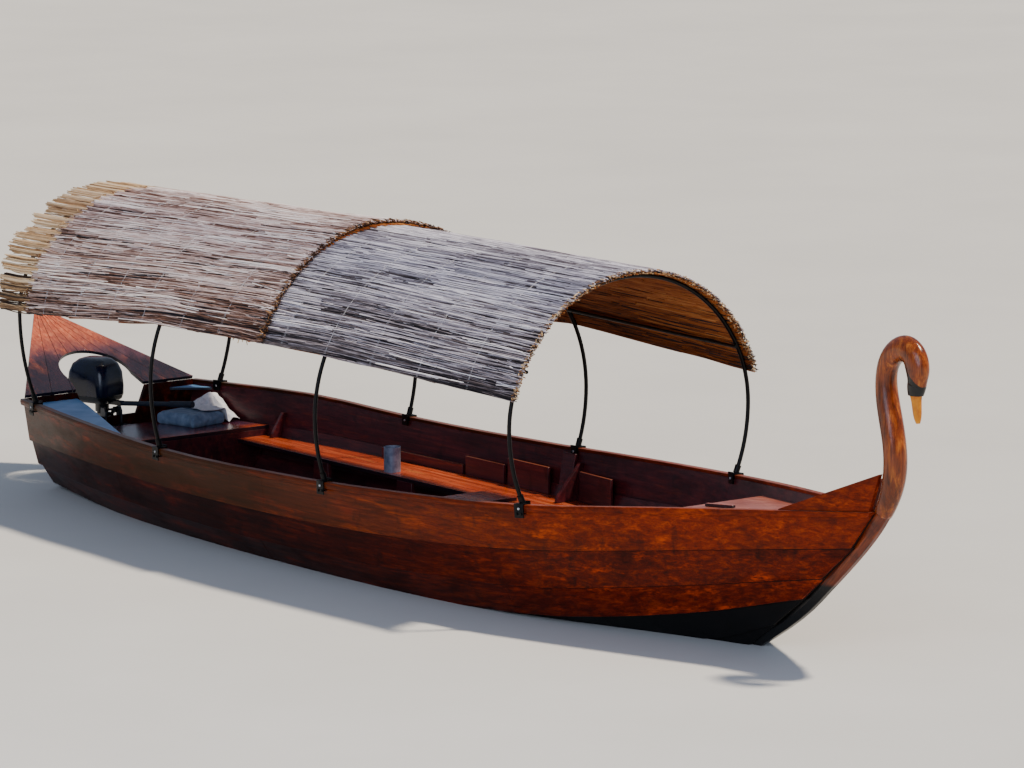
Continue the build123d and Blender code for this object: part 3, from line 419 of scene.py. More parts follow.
def make_finishes(colours):
    """The materials that several pieces share."""
    # Larch planks under old oil and varnish: red-brown, streaked, rubbed to bare orange in patches, and
    # painted darker towards the stern as shade, olive on the sheer strake.
    FINISH["sheer"] = grained(
        "oiled_larch_sheer_strake", "#420f04", "#7e2406", "#a8400c", across=24, along=1500, coat=0.03,
        stain="#30100a", stained=0.5, shine=0.07, worn="#b8440c", worn_from=0.55, aft="#2a1a04",
        drift=(2.4, -1.2))
    FINISH["plank"] = grained(
        "oiled_larch_strakes", "#2a0803", colours.plank, "#943206", across=24, along=1500, coat=0.03,
        stain="#160706", stained=0.65, shine=0.07, worn="#b03808", aft="#160704", drift=(2.2, -0.8))
    # Oak stem under the same oil, with the bottom's black paint up to above the water.
    FINISH["stem"] = grained(
        "oiled_oak_stem", "#2a0e06", "#6c260c", "#9c4818", across=20, along=500, roughness=0.4,
        stain="#160808", stained=0.6, worn="#a85018", shine=0.25, black=[((0, 0, 0.43), (0, 0, -1), 0.012)],
        turn=(0, math.radians(45), 0))
    # Bitumen paint brushed on the bottom: near black with a low sheen.
    FINISH["bottom"] = even("brushed_bitumen_paint", colours.bottom, "#0c0b0c", size=240, roughness=0.6,
                            relief=0.3, speck=9, shine=0.15)
    # Planks inside, oiled once and duller: purple-brown, the purple a painted reflection of the sky and the
    # dark tone partly painted shade.
    FINISH["inner"] = grained(
        "oiled_larch_inside_painted_sheen", "#260d14", "#501a22", "#7a302c", across=26, along=700, spread=1.1,
        roughness=0.45, coat=0.1, stain="#12080c", stained=0.5, shine=0.3, worn="#7a3018", worn_from=0.6)
    # Rail of the same larch, rubbed and bleached grey-pink by the sun.
    FINISH["rail"] = grained(
        "weathered_larch_rail", "#4a1c10", "#8c4026", "#bc7450", across=14, along=700, roughness=0.5,
        coat=0.1, stain="#3a1c14", stained=0.5, shine=0.3, aft="#3e3c30")
    # Seats and decks, varnished more often: bright orange-brown, its pale pink tones partly the wood's and
    # partly a painted sheen of the varnish.
    FINISH["deck"] = grained(
        "varnished_larch_deck", "#6a200e", "#c04c22", "#e88458", across=20, along=800, roughness=0.3,
        coat=0.3, stain="#4a140a", stained=0.4, worn="#e08a48", worn_from=0.6)
    # The helm seat's varnish, glossy, with a painted reflection of the sky in dark blue over its after end.
    FINISH["helm"] = grained(
        "varnished_larch_painted_sky_reflection", "#641c08", "#b44414", "#d8702c", across=20, along=800,
        roughness=0.28, coat=0.4, aft="#0c1c3a", drift=(-3.10, -3.22))
    # Edges and undersides of seats and decks: dark purple, painted shade where they turn from the light.
    FINISH["deck_sides_painted_shade"] = grained(
        "painted_shade_on_deck_sides", "#100a14", "#241420", "#3c1c24", across=20, along=600, roughness=0.4, coat=0.2)
    # Tail boards: the same larch, painted paler as sunlit, with a painted shadow of the canopy in dark blue
    # over their lower, forward part.
    FINISH["fan"] = grained(
        "varnished_larch_tail", "#7a2c14", "#c4603a", "#e08c66", across=18, along=500, roughness=0.35,
        coat=0.2, stain="#6a2a1c", stained=0.5, grain=0.35, aft="#101a34", drift=(-4.42, -4.20))
    # Underside and edges of the tail boards, unvarnished and dull; their dark blue-black is painted shade.
    FINISH["fan_under"] = grained(
        "painted_shade_underside_of_tail", "#0c0e1c", "#1a1c30", "#2a2840", across=20, along=500, roughness=0.5)
    # Bow deck, its varnish worn chalky pink by the sun.
    FINISH["bow_deck"] = grained(
        "sun_worn_bow_deck", "#6a2c22", "#a85c48", "#c98a74", across=18, along=700, roughness=0.4,
        coat=0.15, stain="#5a2a24", stained=0.45)
    # Quarter deck: its pale grey-blue, with a chalky grain, is a painted reflection of the sky, over a glossy
    # coaming whose dark blue, on it and on the deck's edges, is painted shade.
    FINISH["quarter"] = even("painted_sky_reflection_on_quarter_deck", "#4c88c0", "#8cb4e0", size=180, roughness=0.42,
                             relief=0.2, speck=6)
    FINISH["coaming"] = even("painted_shade_on_coaming", "#0c1424", "#1a2740", size=90, roughness=0.3, coat=0.3)
    # Carved swan under thick varnish: glossy, amber in its worn spots, black between eye and beak.
    FINISH["carving"] = grained(
        "varnished_swan_carving", "#2c0f05", "#86380c", "#c87226", across=24, along=240, roughness=0.25,
        coat=0.25, shine=0.25, stain="#1c0906", stained=0.85, worn="#c88c3c", worn_from=0.62,
        turn=(0, math.radians(90), 0),
        black=[((4.10, 0, 1.645), (-0.72, 0, -0.69), 0.002), ((4.0, 0, 1.7), (1, 0, 0), 0.002)])
    # Gloss paints on the carving, thick and hand laid: black at the beak's root, amber on the beak.
    FINISH["black_gloss"] = even("black_gloss_enamel", "#040506", "#0c0d10", size=30, roughness=0.3,
                                 coat=0.1, shine=0.3)
    FINISH["amber"] = even("amber_gloss_enamel", "#b05a02", "#d88c04", size=60, roughness=0.3, coat=0.1,
                           shine=0.3)
    # Bent steel tube with black enamel: a narrow, soft highlight along it.
    FINISH["tube"] = even("enamelled_steel_tube", "#010102", "#040507", size=50, roughness=0.42, shine=0.18)
    # Zinc-plated bolts: bright grey dots on the black clamps.
    FINISH["bolt"] = even("zinc_plated_steel", "#b4b8be", "#e0e2e6", size=12, roughness=0.35, metallic=0.4)
    # Cast aluminium leg under engine enamel: near black, faintly pebbled.
    FINISH["case"] = even("enamelled_cast_aluminium", "#05070b", "#0d1017", size=70, roughness=0.38,
                          coat=0.15, relief=0.15, speck=3)
    # Moulded cowl under gloss paint: deep navy with a clean highlight.
    FINISH["cowl"] = even("gloss_painted_cowl", colours.cowl, "#041230", size=120, roughness=0.24,
                          coat=0.12, shine=0.35)
    # Bare cast aluminium of the screw clamp: dull grey, grainy.
    FINISH["engine_metal"] = even("cast_aluminium", "#2d3036", "#4c5057", size=20, roughness=0.45,
                                  metallic=0.7, relief=0.2, speck=2)
    # Cast bronze propeller, dulled brown by the water.
    FINISH["bronze"] = even("cast_propeller_bronze", "#3f3a32", "#6b6250", size=20, roughness=0.4,
                            metallic=0.9)
    # Moulded rubber of the tiller: matt blue-black, textured for the hand.
    FINISH["grip"] = even("moulded_rubber_grip", "#0c1422", "#1a2638", size=14, roughness=0.7, relief=0.5,
                          speck=4)
    # Tinned sheet of the bailing can, gone dull: soft blue-grey shine.
    FINISH["tin"] = even("dull_tinned_can", "#6c7690", "#a0a8be", size=40, roughness=0.45, metallic=0.35)


def reed_finish(name, dark, brown, tan, pale):
    """Cane reed, sun dried: a smooth rind, one tone a stalk, with streaks along it."""
    material, tree, shader, place = surface(
        name, {"IOR": 1.45, "Specular IOR Level": 0.3, "Roughness": 0.6})
    tone = add(tree, "ShaderNodeAttribute", {"attribute_name": "shade"})
    long, wide = 142.86, 8.3333
    streak_space = add(tree, "ShaderNodeMapping", {"Scale": (1000 / long, 1000 / wide, 1000 / wide)},
                       {"Vector": (place, "Object")})
    streaks = add(tree, "ShaderNodeTexNoise", {"Scale": 1.0, "Detail": 4.0, "Roughness": 0.65},
                  {"Vector": (streak_space, "Vector")})
    push = add(tree, "ShaderNodeMath", {"operation": "MULTIPLY_ADD", 1: 0.9, 2: -0.45},
               {0: (streaks, "Fac")})
    value = add(tree, "ShaderNodeMath", {"operation": "ADD", "use_clamp": True},
                {0: (tone, "Fac"), 1: (push, "Value")})
    tones = add(tree, "ShaderNodeValToRGB", None, {"Fac": (value, "Value")},
                [(0.05, dark), (0.30, brown), (0.58, tan), (0.9, pale)])
    tree.links.new(tones.outputs["Color"], shader.inputs["Base Color"])
    return material


# operators

def waterline(stations=66):
    """The hull's outline at the water, inside its planking: x and half breadth, from the stern on."""
    bm = bmesh.new()
    for node in STRAKES:
        bm.from_mesh(NODES[node].data)
    whole = bm.verts[:] + bm.edges[:] + bm.faces[:]
    cut = bmesh.ops.bisect_plane(bm, geom=whole, plane_co=(0, 0, 0), plane_no=(0, 0, 1))["geom_cut"]
    runs = [[v.co.copy() for v in e.verts] for e in cut if isinstance(e, bmesh.types.BMEdge)]
    bm.free()
    stern, bow = HULL_AT_WATER
    outline = []
    for i in range(stations + 1):
        x = stern + (bow - stern) * i / stations
        breadths = [a.y + (b.y - a.y) * (x - a.x) / (b.x - a.x) for a, b in runs
                    if a.y > 0 and min(a.x, b.x) <= x < max(a.x, b.x)]
        # A third of the way out is inside the inner board, also where two boards lap.
        outline.append((x, min(breadths) + (max(breadths) - min(breadths)) / 3))
    return outline


class BOAT_OT_stage(bpy.types.Operator):
    """Lay the pale floor at the water line and set the lights and the camera."""

    bl_idname = "boat.stage"
    bl_label = "Stage"

    def execute(self, context):
        bm = bmesh.new()
        rim = bmesh.ops.create_circle(bm, cap_ends=False, segments=96, radius=FLOOR_RADIUS)["verts"]
        outline = waterline()
        outline += [(x, -y) for x, y in reversed(outline)]
        hole = bmesh.ops.create_circle(bm, cap_ends=False, segments=len(outline), radius=1)["verts"]
        for v, (x, y) in zip(hole, outline):
            v.co = (x, y, 0)
        edges = list({e for v in rim + hole for e in v.link_edges})
        bmesh.ops.triangle_fill(bm, use_beauty=True, use_dissolve=False, edges=edges, normal=(0, 0, 1))
        for face in bm.faces:
            if face.normal.z < 0:
                face.normal_flip()
        mesh = bpy.data.meshes.new("floor")
        bm.to_mesh(mesh)
        bm.free()
        floor = bpy.data.objects.new("floor", mesh)
        context.scene.collection.objects.link(floor)
        # Matt pale paper, with a drift of tone too faint to read as a pattern.
        floor.data.materials.append(even("matt_paper_floor", "#c9c8c5", "#cfcecb", size=2500, roughness=0.9))

        world = bpy.data.worlds.new("soft_room")
        world.use_nodes = True
        background = world.node_tree.nodes["Background"]
        background.inputs["Color"].default_value = linear("#c9d8f2")
        background.inputs["Strength"].default_value = 0.5
        context.scene.world = world
        for name, kind, place, size, power, tint in (
                ("key", "SUN", (2.8, 3.5, 8.9), math.radians(4), 5.2, "#fff1dc"),
                ("near_side", "AREA", (9.0, -13.0, 6.0), 9.0, 900, "#dbe7ff")):
            data = bpy.data.lights.new(name, kind)
            if kind == "SUN":
                data.angle = size
            else:
                data.shape = "DISK"
                data.size = size
            data.energy = power
            data.color = linear(tint)[:3]
            lamp = bpy.data.objects.new(name, data)
            lamp.location = place
            lamp.rotation_mode = "QUATERNION"
            lamp.rotation_quaternion = (-Vector(place)).to_track_quat("-Z", "Y")
            context.scene.collection.objects.link(lamp)

        data = bpy.data.cameras.new("camera")
        data.sensor_width = SENSOR
        data.lens = FOCAL * SENSOR / PICTURE
        data.clip_start, data.clip_end = 1.0, 900
        camera = bpy.data.objects.new("camera", data)
        axes = (CAMERA_RIGHT, CAMERA_UP, CAMERA_RIGHT.cross(CAMERA_UP))
        camera.matrix_world = Matrix.Translation(CAMERA_PLACE) @ Matrix(axes).transposed().to_4x4()
        context.scene.collection.objects.link(camera)
        context.scene.camera = camera
        return {"FINISHED"}


def outboard_side(face):
    """0 on a face that looks out of the hull, 1 on one that looks in."""
    side = 1 if face.calc_center_median().y > 0 else -1
    out = face.normal.y * side - face.normal.z * 0.35
    return 0 if out > -0.05 else 1


def upward(face):
    """0 on top faces, 1 on edges and undersides."""
    return 0 if face.normal.z > 0.5 else 1


def level(face):
    """0 on faces that lie nearly level, 1 on the rest."""
    return 0 if face.normal.z > 0.94 else 1


def inboard_top(face):
    """1 on the faces of the keel that show inside the hull, 0 on the rest."""
    return 1 if face.normal.z > 0.3 else 0


def lap_shade_strips(name, nodes, drop=0.006, inset=0.011, narrow=0.026):
    """Painted shade in the angle under each lap: dark strips from the boards' lower edges, set in and drawn
    down.
    """
    bm = cad_copy(*nodes)
    lower = {f for f in bm.faces if f.normal.z < -0.45 and outboard_side(f) == 0
             and f.calc_area() < narrow * max(e.calc_length() for e in f.edges)}
    moves = {}
    for v in {v for f in lower for v in f.verts}:
        outer = [f.normal for f in v.link_faces
                 if f not in lower and outboard_side(f) == 0 and abs(f.normal.y) > 0.3]
        if outer:
            moves[v] = -inset * sum(outer, Vector()).normalized()
    bmesh.ops.delete(bm, geom=[f for f in bm.faces if f not in lower], context="FACES")
    for v, move in moves.items():
        if v.is_valid:
            v.co += move
    grown = bmesh.ops.extrude_face_region(bm, geom=bm.faces[:])["geom"]
    drawn = [g for g in grown if isinstance(g, bmesh.types.BMVert)]
    bmesh.ops.translate(bm, verts=drawn, vec=(0, 0, -drop))
    bmesh.ops.recalc_face_normals(bm, faces=bm.faces)
    # Painted shade under the laps: matt, near black.
    lap_shade = even("painted_shade_under_laps", "#060404", "#150b08", size=30, roughness=0.8, shine=0.15)
    from_bmesh(name, bm, [lap_shade])


class BOAT_OT_planking(bpy.types.Operator):
    """Dress the strakes, keel, stem, transom, rails and breast boards."""

    bl_idname = "boat.planking"
    bl_label = "Planking"

    def execute(self, context):
        arris = context.scene.boat_sizes.arris
        for name, node, outer, slot in (
                ("sheer_planks", "sheer_strakes", "sheer", "varnished_plank"),
                ("upper_planks", "upper_strakes", "plank", "varnished_plank"),
                ("middle_planks", "middle_strakes", "plank", "varnished_plank"),
                ("bottom_planks", "bottom_strakes", "bottom", "bottom_paint"),
                ("garboard_planks", "garboards", "bottom", "bottom_paint")):
            dressed(name, node, [outer, "inner"], arris, pick=outboard_side)
        dressed("keel", "keel_plank", ["bottom", "inner"], arris, pick=inboard_top)
        dressed("stem", "stem_post", ["stem"], 0.003)
        dressed("stern_board", "transom", ["plank"], arris)
        dressed("rails", "gunwales", ["rail", "sheer"], 0.004, pick=level)
        lap_shade_strips("lap_painted_shade", ["sheer_strakes", "upper_strakes", "middle_strakes"])
        dressed("bow_boards", "breast_boards", ["sheer"], arris)
        return {"FINISHED"}


class BOAT_OT_swan(bpy.types.Operator):
    """Finish the swan's neck, head and beak."""

    bl_idname = "boat.swan"
    bl_label = "Swan"

    def execute(self, context):
        dressed("swan", "swan_neck", ["carving"], smooth=60)
        dressed("beak_band", "beak_base", ["black_gloss"], smooth=60)
        dressed("swan_beak", "beak", ["amber"], smooth=60)
        return {"FINISHED"}


class BOAT_OT_joinery(bpy.types.Operator):
    """Dress the tail fan, decks, seats, floor and timbers."""

    bl_idname = "boat.joinery"
    bl_label = "Joinery"

    def execute(self, context):
        arris = context.scene.boat_sizes.arris
        for name, node, top, rest in (
                ("fan_boards", "tail_fan", "fan", "fan_under"),
                ("side_benches", "benches", "deck", "deck_sides_painted_shade"),
                ("cross_seat", "thwart", "deck", "deck_sides_painted_shade"),
                ("steersman_seat", "helm_seat", "helm", "deck_sides_painted_shade"),
                ("stern_decks", "quarter_decks", "quarter", "coaming"),
                ("bow_deck", "foredeck", "bow_deck", "deck_sides_painted_shade")):
            dressed(name, node, [top, rest], arris, pick=upward)
        dressed("timbers", "floor_timbers", ["inner"], arris)
        dressed("boards", "floorboards", ["inner"], arris)
        dressed("bench_feet", "bench_supports", ["inner"], arris)
        dressed("seat_backs", "backboards", ["rail", "inner"], arris, pick=upward)
        dressed("ribs", "side_ribs", ["inner"], arris)
        dressed("seat_panels", "helm_panels", ["inner"], arris)
        return {"FINISHED"}


def islands(bm):
    """The separate pieces of a mesh, as lists of vertices."""
    left = set(bm.verts)
    found = []
    while left:
        queue = [left.pop()]
        island = []
        while queue:
            v = queue.pop()
            island.append(v)
            for edge in v.link_edges:
                other = edge.other_vert(v)
                if other in left:
                    left.discard(other)
                    queue.append(other)
        found.append(island)
    return found


def clamp_plates(name, plate=(0.070, 0.006, 0.056), head=0.007, radius=0.0065, depth=0.005,
                 proud=0.0015, apart=0.017, below=0.030):
    """The plate inside the rail under each clamp, and bright bolts through both cheeks.

    plate is its length along the rail, thickness and height, head how far the clamp's own bolts stand out
    of its outer cheek. The bright bolts sit apart to both sides and below the clamp's top, a little proud.
    """
    cad = cad_copy("hoop_clamps")
    bm = bmesh.new()
    for island in islands(cad):
        edges = {e for v in island for e in v.link_edges}
        longest = max(edges, key=lambda e: e.calc_length())
        along = (longest.verts[1].co - longest.verts[0].co).normalized()
        saddle = [e for e in edges if e.calc_length() > 0.9 * longest.calc_length()]
        centre = sum((e.verts[0].co + e.verts[1].co for e in saddle), Vector()) / (2 * len(saddle))
        top = max(max(e.verts[0].co.z, e.verts[1].co.z) for e in saddle)
        out = along.cross(Vector((0, 0, 1))).normalized()
        out *= 1 if out.y * centre.y > 0 else -1
        reach = [(v.co - centre).dot(out) for v in island]
        outer, inner = max(reach) - head, min(reach)
        turn = Matrix((along, out, along.cross(out))).transposed().to_4x4()
        place = centre + out * (inner - plate[1] / 2)
        place.z = top - plate[2] / 2
        bmesh.ops.create_cube(
            bm, size=1, matrix=Matrix.Translation(place) @ turn @ Matrix.Diagonal((*plate, 1)))
        for face, way in ((inner - plate[1], -1), (outer, 1)):
            for shift in (-apart, apart):
                spot = centre + out * (face + way * proud) + along * shift
                spot.z = top - below
                spin = Vector((0, 0, 1)).rotation_difference(out).to_matrix().to_4x4()
                bolt = bmesh.ops.create_cone(bm, cap_ends=True, segments=12, radius1=radius, radius2=radius,
                                             depth=depth, matrix=Matrix.Translation(spot) @ spin)
                for f in {f for v in bolt["verts"] for f in v.link_faces}:
                    f.material_index = 1
    cad.free()
    return from_bmesh(name, bm, [FINISH["tube"], FINISH["bolt"]])


class BOAT_OT_hoops(bpy.types.Operator):
    """Enamel the hoops, their clamps and the purlins."""

    bl_idname = "boat.hoops"
    bl_label = "Hoops"

    def execute(self, context):
        for i in range(1, len(HOOPS) + 1):
            dressed(f"bow_tube_{i}", f"hoop_{i}", ["tube"], smooth=50)
        dressed("rail_clamps", "hoop_clamps", ["tube"], 0.0012)
        eased(clamp_plates("clamp_plates"), 0.0008)
        dressed("long_tubes", "purlins", ["tube"], smooth=50)
        return {"FINISHED"}


def mat_core(name, start, end, finish, rise, middle=0.010, thick=0.008):
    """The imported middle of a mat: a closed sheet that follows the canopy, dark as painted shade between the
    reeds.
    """
    bm = bmesh.new()
    bmesh.ops.create_grid(bm, x_segments=24, y_segments=44, size=0.5)
    for v in bm.verts:
        x = start + (end - start) * (v.co.x + 0.5)
        v.co = skin(x, v.co.y * (2 * EDGE), MAT_IN + middle + rise(x))[0]
    bmesh.ops.recalc_face_normals(bm, faces=bm.faces)
    bmesh.ops.solidify(bm, geom=bm.faces[:], thickness=-thick)
    from_bmesh(name, bm, [finish], smooth=30)


def stalk_pattern(steps):
    """One four-sided reed of unit radius and length, standing on z = 0."""
    bm = bmesh.new()
    bmesh.ops.create_cone(bm, cap_ends=True, cap_tris=False, segments=4, radius1=1, radius2=1, depth=1)
    tall = [e for e in bm.edges if abs(e.verts[0].co.z - e.verts[1].co.z) > 0.5]
    if steps > 1:
        bmesh.ops.subdivide_edges(bm, edges=tall, cuts=steps - 1)
    for v in bm.verts:
        v.co.z += 0.5
    bm.faces.layers.float.new("shade")
    return bm


class Bale:
    """Reeds being gathered into one mesh.

    Each reed follows a path, a function of 0 to 1 that gives a point and the way out from the mat there.
    """

    def __init__(self, seed, sizes):
        self.mesh = bmesh.new()
        self.mesh.faces.layers.float.new("shade")
        self.scratch = bpy.data.meshes.new("one_reed")
        self.long, self.short = stalk_pattern(4), stalk_pattern(1)
        self.chance = random.Random(seed)
        self.sizes = sizes

    def lay(self, pattern, path, radius, shade, taper=0.2):
        """Bend a copy of the pattern along a path and add it to the bale."""
        one = pattern.copy()
        layer = one.faces.layers.float["shade"]
        for face in one.faces:
            face[layer] = shade
        rings = {}
        for v in one.verts:
            t = round(v.co.z, 4)
            if t not in rings:
                here, up = path(t)
                ahead = path(min(t + 0.02, 1.0))[0] - path(max(t - 0.02, 0.0))[0]
                ahead.normalize()
                across = ahead.cross(up).normalized()
                rings[t] = (here, across, across.cross(ahead), radius * (1 - taper * t))
            here, across, up, r = rings[t]
            v.co = here + across * (v.co.x * r) + up * (v.co.y * r)
        one.to_mesh(self.scratch)
        one.free()
        self.mesh.from_mesh(self.scratch)

    def reeds(self, start, end, layer, rise, spread=0.13, thick=1.0, ridging_and_shade=1.0, line=square):
        """A layer of reeds in rows, laid end to end from start to end.

        rise lifts the layer along X, line moves its end by the share of the girth, spread is how much the
        reeds' tones differ, and bunch how much they gather in ridges and how strongly the ridges are painted
        lighter and the valleys between them darker, as painted highlight and shade.
        """
        chance, ragged = self.chance, 0.03
        off, sink, pitch = layer
        rows = int(GIRTH / pitch)
        for row in range(rows):
            share = -EDGE + 2 * EDGE * (row + chance.uniform(0.1, 0.9)) / rows
            x = start - chance.uniform(0.0, 0.6) * self.sizes.reed_length
            finish = end + line(share)
            while x < finish:
                length = self.sizes.reed_length * chance.uniform(0.5, 1.45)
                a = max(x, start + ragged * chance.uniform(-0.6, 1.0))
                b = min(x + length, finish - ragged * chance.uniform(-0.6, 1.0))
                x += length * chance.uniform(0.93, 1.0)
                if b - a < 0.05:
                    continue
                drift, bow = chance.gauss(0, 0.010), chance.gauss(0, 0.004)
                lift, sway, phase = chance.uniform(-0.002, 0.002), chance.uniform(0, 0.0026), chance.random()
                # Painted shade: reeds are drawn darker towards the eaves and darkest in the lowest band,
                # where the canopy's sides turn from the light; the ridges are painted lighter and the valleys
                # between them darker.
                eave = (0.15 if abs(share) > 0.91 else 0.0) + 0.17 * soft_step((abs(share) - 0.35) / 0.5)
                tone = (0.60 + 0.35 * clump(a, share) + 0.5 * ridging_and_shade * ridge((a + b) / 2, share)
                        + chance.gauss(0, spread) - sink - eave)

                def path(t, a=a, b=b, share=share, drift=drift, bow=bow, lift=lift, sway=sway, phase=phase):
                    at = a + (b - a) * t
                    s = max(-1.0, min(1.0, share + drift * (t - 0.5) + bow * math.sin(math.pi * t)))
                    wave = lift + sway * math.sin(2 * math.pi * (t + phase))
                    return skin(at, s, off + wave + 0.007 * ridging_and_shade * ridge(at, s) + rise(at))

                radius = thick * self.sizes.reed * chance.uniform(0.7, 1.25)
                self.lay(self.long, path, radius, min(1.0, max(0.0, tone)))

    def stubs(self, x, count, reach, tilt, offs, tones, rise, line=square, thick=0.0032):
        """Short ragged ends that stand out of a mat's edge at x, forward for a positive reach.

        reach, tilt, offs and tones are the least and most of their length, their lift outwards, their
        distance from the tube's middle and their tone.
        """
        chance = self.chance
        for i in range(count):
            share = -EDGE + 2 * EDGE * (i + chance.random()) / count
            long, lean, side = chance.uniform(*reach), chance.uniform(*tilt), chance.gauss(0, 0.012)
            root, off = x + line(share) + chance.uniform(-0.012, 0.012), chance.uniform(*offs)

            def path(t, share=share, long=long, lean=lean, side=side, root=root, off=off):
                s = max(-1.0, min(1.0, share + side * t))
                return skin(root + long * t, s, off + lean * t + rise(root))

            self.lay(self.short, path, thick * chance.uniform(0.7, 1.3), chance.uniform(*tones), 0.35)

    def bundles(self, root, tip, count, stems=12, edge=0.985):
        """Tied bundles of reed whose pale ends stand out past the mat."""
        chance = self.chance
        for i in range(count):
            middle = -edge + 2 * edge * (i + chance.uniform(0.3, 0.7)) / count
            end = tip + chance.uniform(0.0, 0.13)
            # Painted shade: bundles near the eaves are drawn darker.
            grey = 0.35 if abs(middle) > 0.86 else 0.0
            for j in range(stems):
                turn, out = 2 * math.pi * j / stems, chance.uniform(0.3, 1.0)
                share = max(-1.0, min(1.0, middle + 0.018 * out * math.cos(turn)))
                off = 0.032 + 0.010 * out * math.sin(turn)
                last = end + chance.uniform(-0.02, 0.05)

                def path(t, share=share, off=off, last=last):
                    return skin(root + (last - root) * t, share, off)

                tone = max(0.0, chance.uniform(0.35, 1.0) - grey)
                self.lay(self.long, path, 1.4 * self.sizes.reed, tone, 0.0)

    def straws(self, x, share, count, long, thick):
        """Broken reeds that stick out and hang below the eave near x."""
        chance = self.chance
        for _ in range(count):
            root, out = skin(x + chance.uniform(-0.05, 0.05), share, 0.036)
            tip = root + out * chance.uniform(0.01, 0.03)
            tip += Vector((chance.uniform(-0.5, 0.6), 0, chance.uniform(-1.0, -0.1))) * long

            def path(t, root=root, tip=tip, out=out):
                return root.lerp(tip, t), out

            self.lay(self.short, path, thick, chance.uniform(0.7, 1.0), 0.3)

    def stitches(self, start, end, rise, thick=0.0009):
        """Double rows of twine that bind the reeds, round the whole girth."""
        chance = self.chance
        spacing = self.sizes.stitch
        pattern = stalk_pattern(140)
        x = start + spacing * 0.6
        while x < end - 0.08:
            for shift in (-0.004, 0.004):
                phase = chance.random() * 6

                def path(t, x=x + shift, phase=phase):
                    at = x + 0.007 * math.sin(9 * t + phase) + 0.003 * math.sin(31 * t + 2 * phase)
                    share = -0.99 + 1.98 * t
                    return skin(at, share, 0.0385 + 0.004 * ridge(at, share) + rise(at))

                self.lay(pattern, path, thick, 1.0, 0.0)
            x += spacing * chance.uniform(0.94, 1.06)
        pattern.free()

    def piece(self, name, finish):
        """The bale as one object."""
        for pattern in (self.long, self.short):
            pattern.free()
        bpy.data.meshes.remove(self.scratch)
        return from_bmesh(name, self.mesh, [finish], smooth=60)


class BOAT_OT_canopy(bpy.types.Operator):
    """Weave the two reed mats over the hoops."""

    bl_idname = "boat.canopy"
    bl_label = "Reed canopy"

    def execute(self, context):
        sizes, colours = context.scene.boat_sizes, context.scene.boat_finishes
        # Reeds bleached by the sun: pale pink-grey with brown gaps aft, colder and greyer on the fore mat;
        # the near-black, blue-tinted end of each scale is painted shade.
        aft = reed_finish("sun_bleached_reed_aft", "#1c1820", "#7e5644", colours.reed, "#fff6f2")
        fore = reed_finish("weathered_reed_fore", "#16141c", "#5e5254", "#b0a8b2", "#f6f0f4")
        # Reeds that the sun hasn't bleached: orange-brown inside, partly a painted glow of the sunlight that
        # shines through the mat; straw yellow where they are freshly cut.
        under = reed_finish("reed_underside_painted_glow", "#2a1206", "#74380f", "#9c5420", "#c08040")
        golden = reed_finish("golden_reed_ends", "#38281e", "#84603e", "#caa67c", "#f4dcb8")
        ragged = reed_finish("broken_reed_ends", "#160c0a", "#50301c", "#9a6a40", "#e8c898")
        # Painted shade between the reeds, as a dark sheet under them, and cotton twine that has bleached
        # grey.
        core = even("painted_shade_under_reeds", "#120d10", "#2a2024", size=20, roughness=0.85)
        thread = even("bleached_twine", "#a8a6ac", "#d4d2d6", size=20, roughness=0.8)

        start, joint = AFT_MAT
        outer, bow = start + BUNDLED, FORE_MAT[1]
        bale = Bale(11, sizes)
        for layer in AFT_LAYERS:
            bale.reeds(outer, joint + 0.03, layer, lap_rise, line=askew)
        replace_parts(bale.piece("aft_mat_reeds", aft), "reed_mat_aft")
        bale = Bale(23, sizes)
        for layer in FORE_LAYERS:
            bale.reeds(joint - LAPPED, bow, layer, flat)
        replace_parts(bale.piece("fore_mat_reeds", fore), "reed_mat_fore")
        mat_core("aft_mat_core", outer + 0.03, joint - 0.08, core, lap_rise)
        mat_core("fore_mat_core", joint + 0.02, bow - 0.02, core, flat)

        bale = Bale(31, sizes)
        bale.reeds(outer, joint, LINING, lap_rise, spread=0.07, thick=1.5, ridging_and_shade=0.0)
        bale.piece("aft_mat_lining", under)
        bale = Bale(37, sizes)
        bale.reeds(joint, bow - 0.01, LINING, flat, spread=0.07, thick=1.5, ridging_and_shade=0.0)
        bale.piece("fore_mat_lining", under)

        bale = Bale(41, sizes)
        bale.reeds(start + 0.10, outer + 0.25, (0.0265, 0.12, 0.0090), lap_rise, spread=0.2, thick=1.2)
        bale.bundles(outer + 0.05, start - 0.01, 42)
        bale.piece("aft_mat_bundles", golden)
        bale = Bale(43, sizes)
        bale.stubs(joint + 0.02, 560, (0.006, 0.028), (-0.004, 0.010), (0.016, 0.038), (0.0, 0.55),
                   lap_rise, askew)
        bale.stubs(joint + 0.04, 300, (-0.05, -0.02), (0.0, 0.010), (0.032, 0.042), (0.0, 0.7),
                   lap_rise, askew)
        bale.stubs(outer, 420, (-0.06, -0.01), (-0.006, 0.004), (0.028, 0.042), (0.3, 0.9), flat)
        bale.stubs(bow - 0.02, 1100, (0.006, 0.026), (-0.002, 0.003), (0.014, 0.042), (0.25, 1.0), flat)
        bale.straws(-0.92, -0.95, 8, 0.09, 0.0045)
        bale.piece("mat_ends", ragged)
        bale = Bale(47, sizes)
        bale.stitches(outer, joint, lap_rise)
        bale.stitches(joint, bow, flat)
        bale.piece("mat_stitching", thread)
        return {"FINISHED"}


def stouter(bm, rubber=0.004):
    """Bring the tiller to the thickness of its rubber."""
    bm.normal_update()
    for v in bm.verts:
        v.co += v.normal * rubber


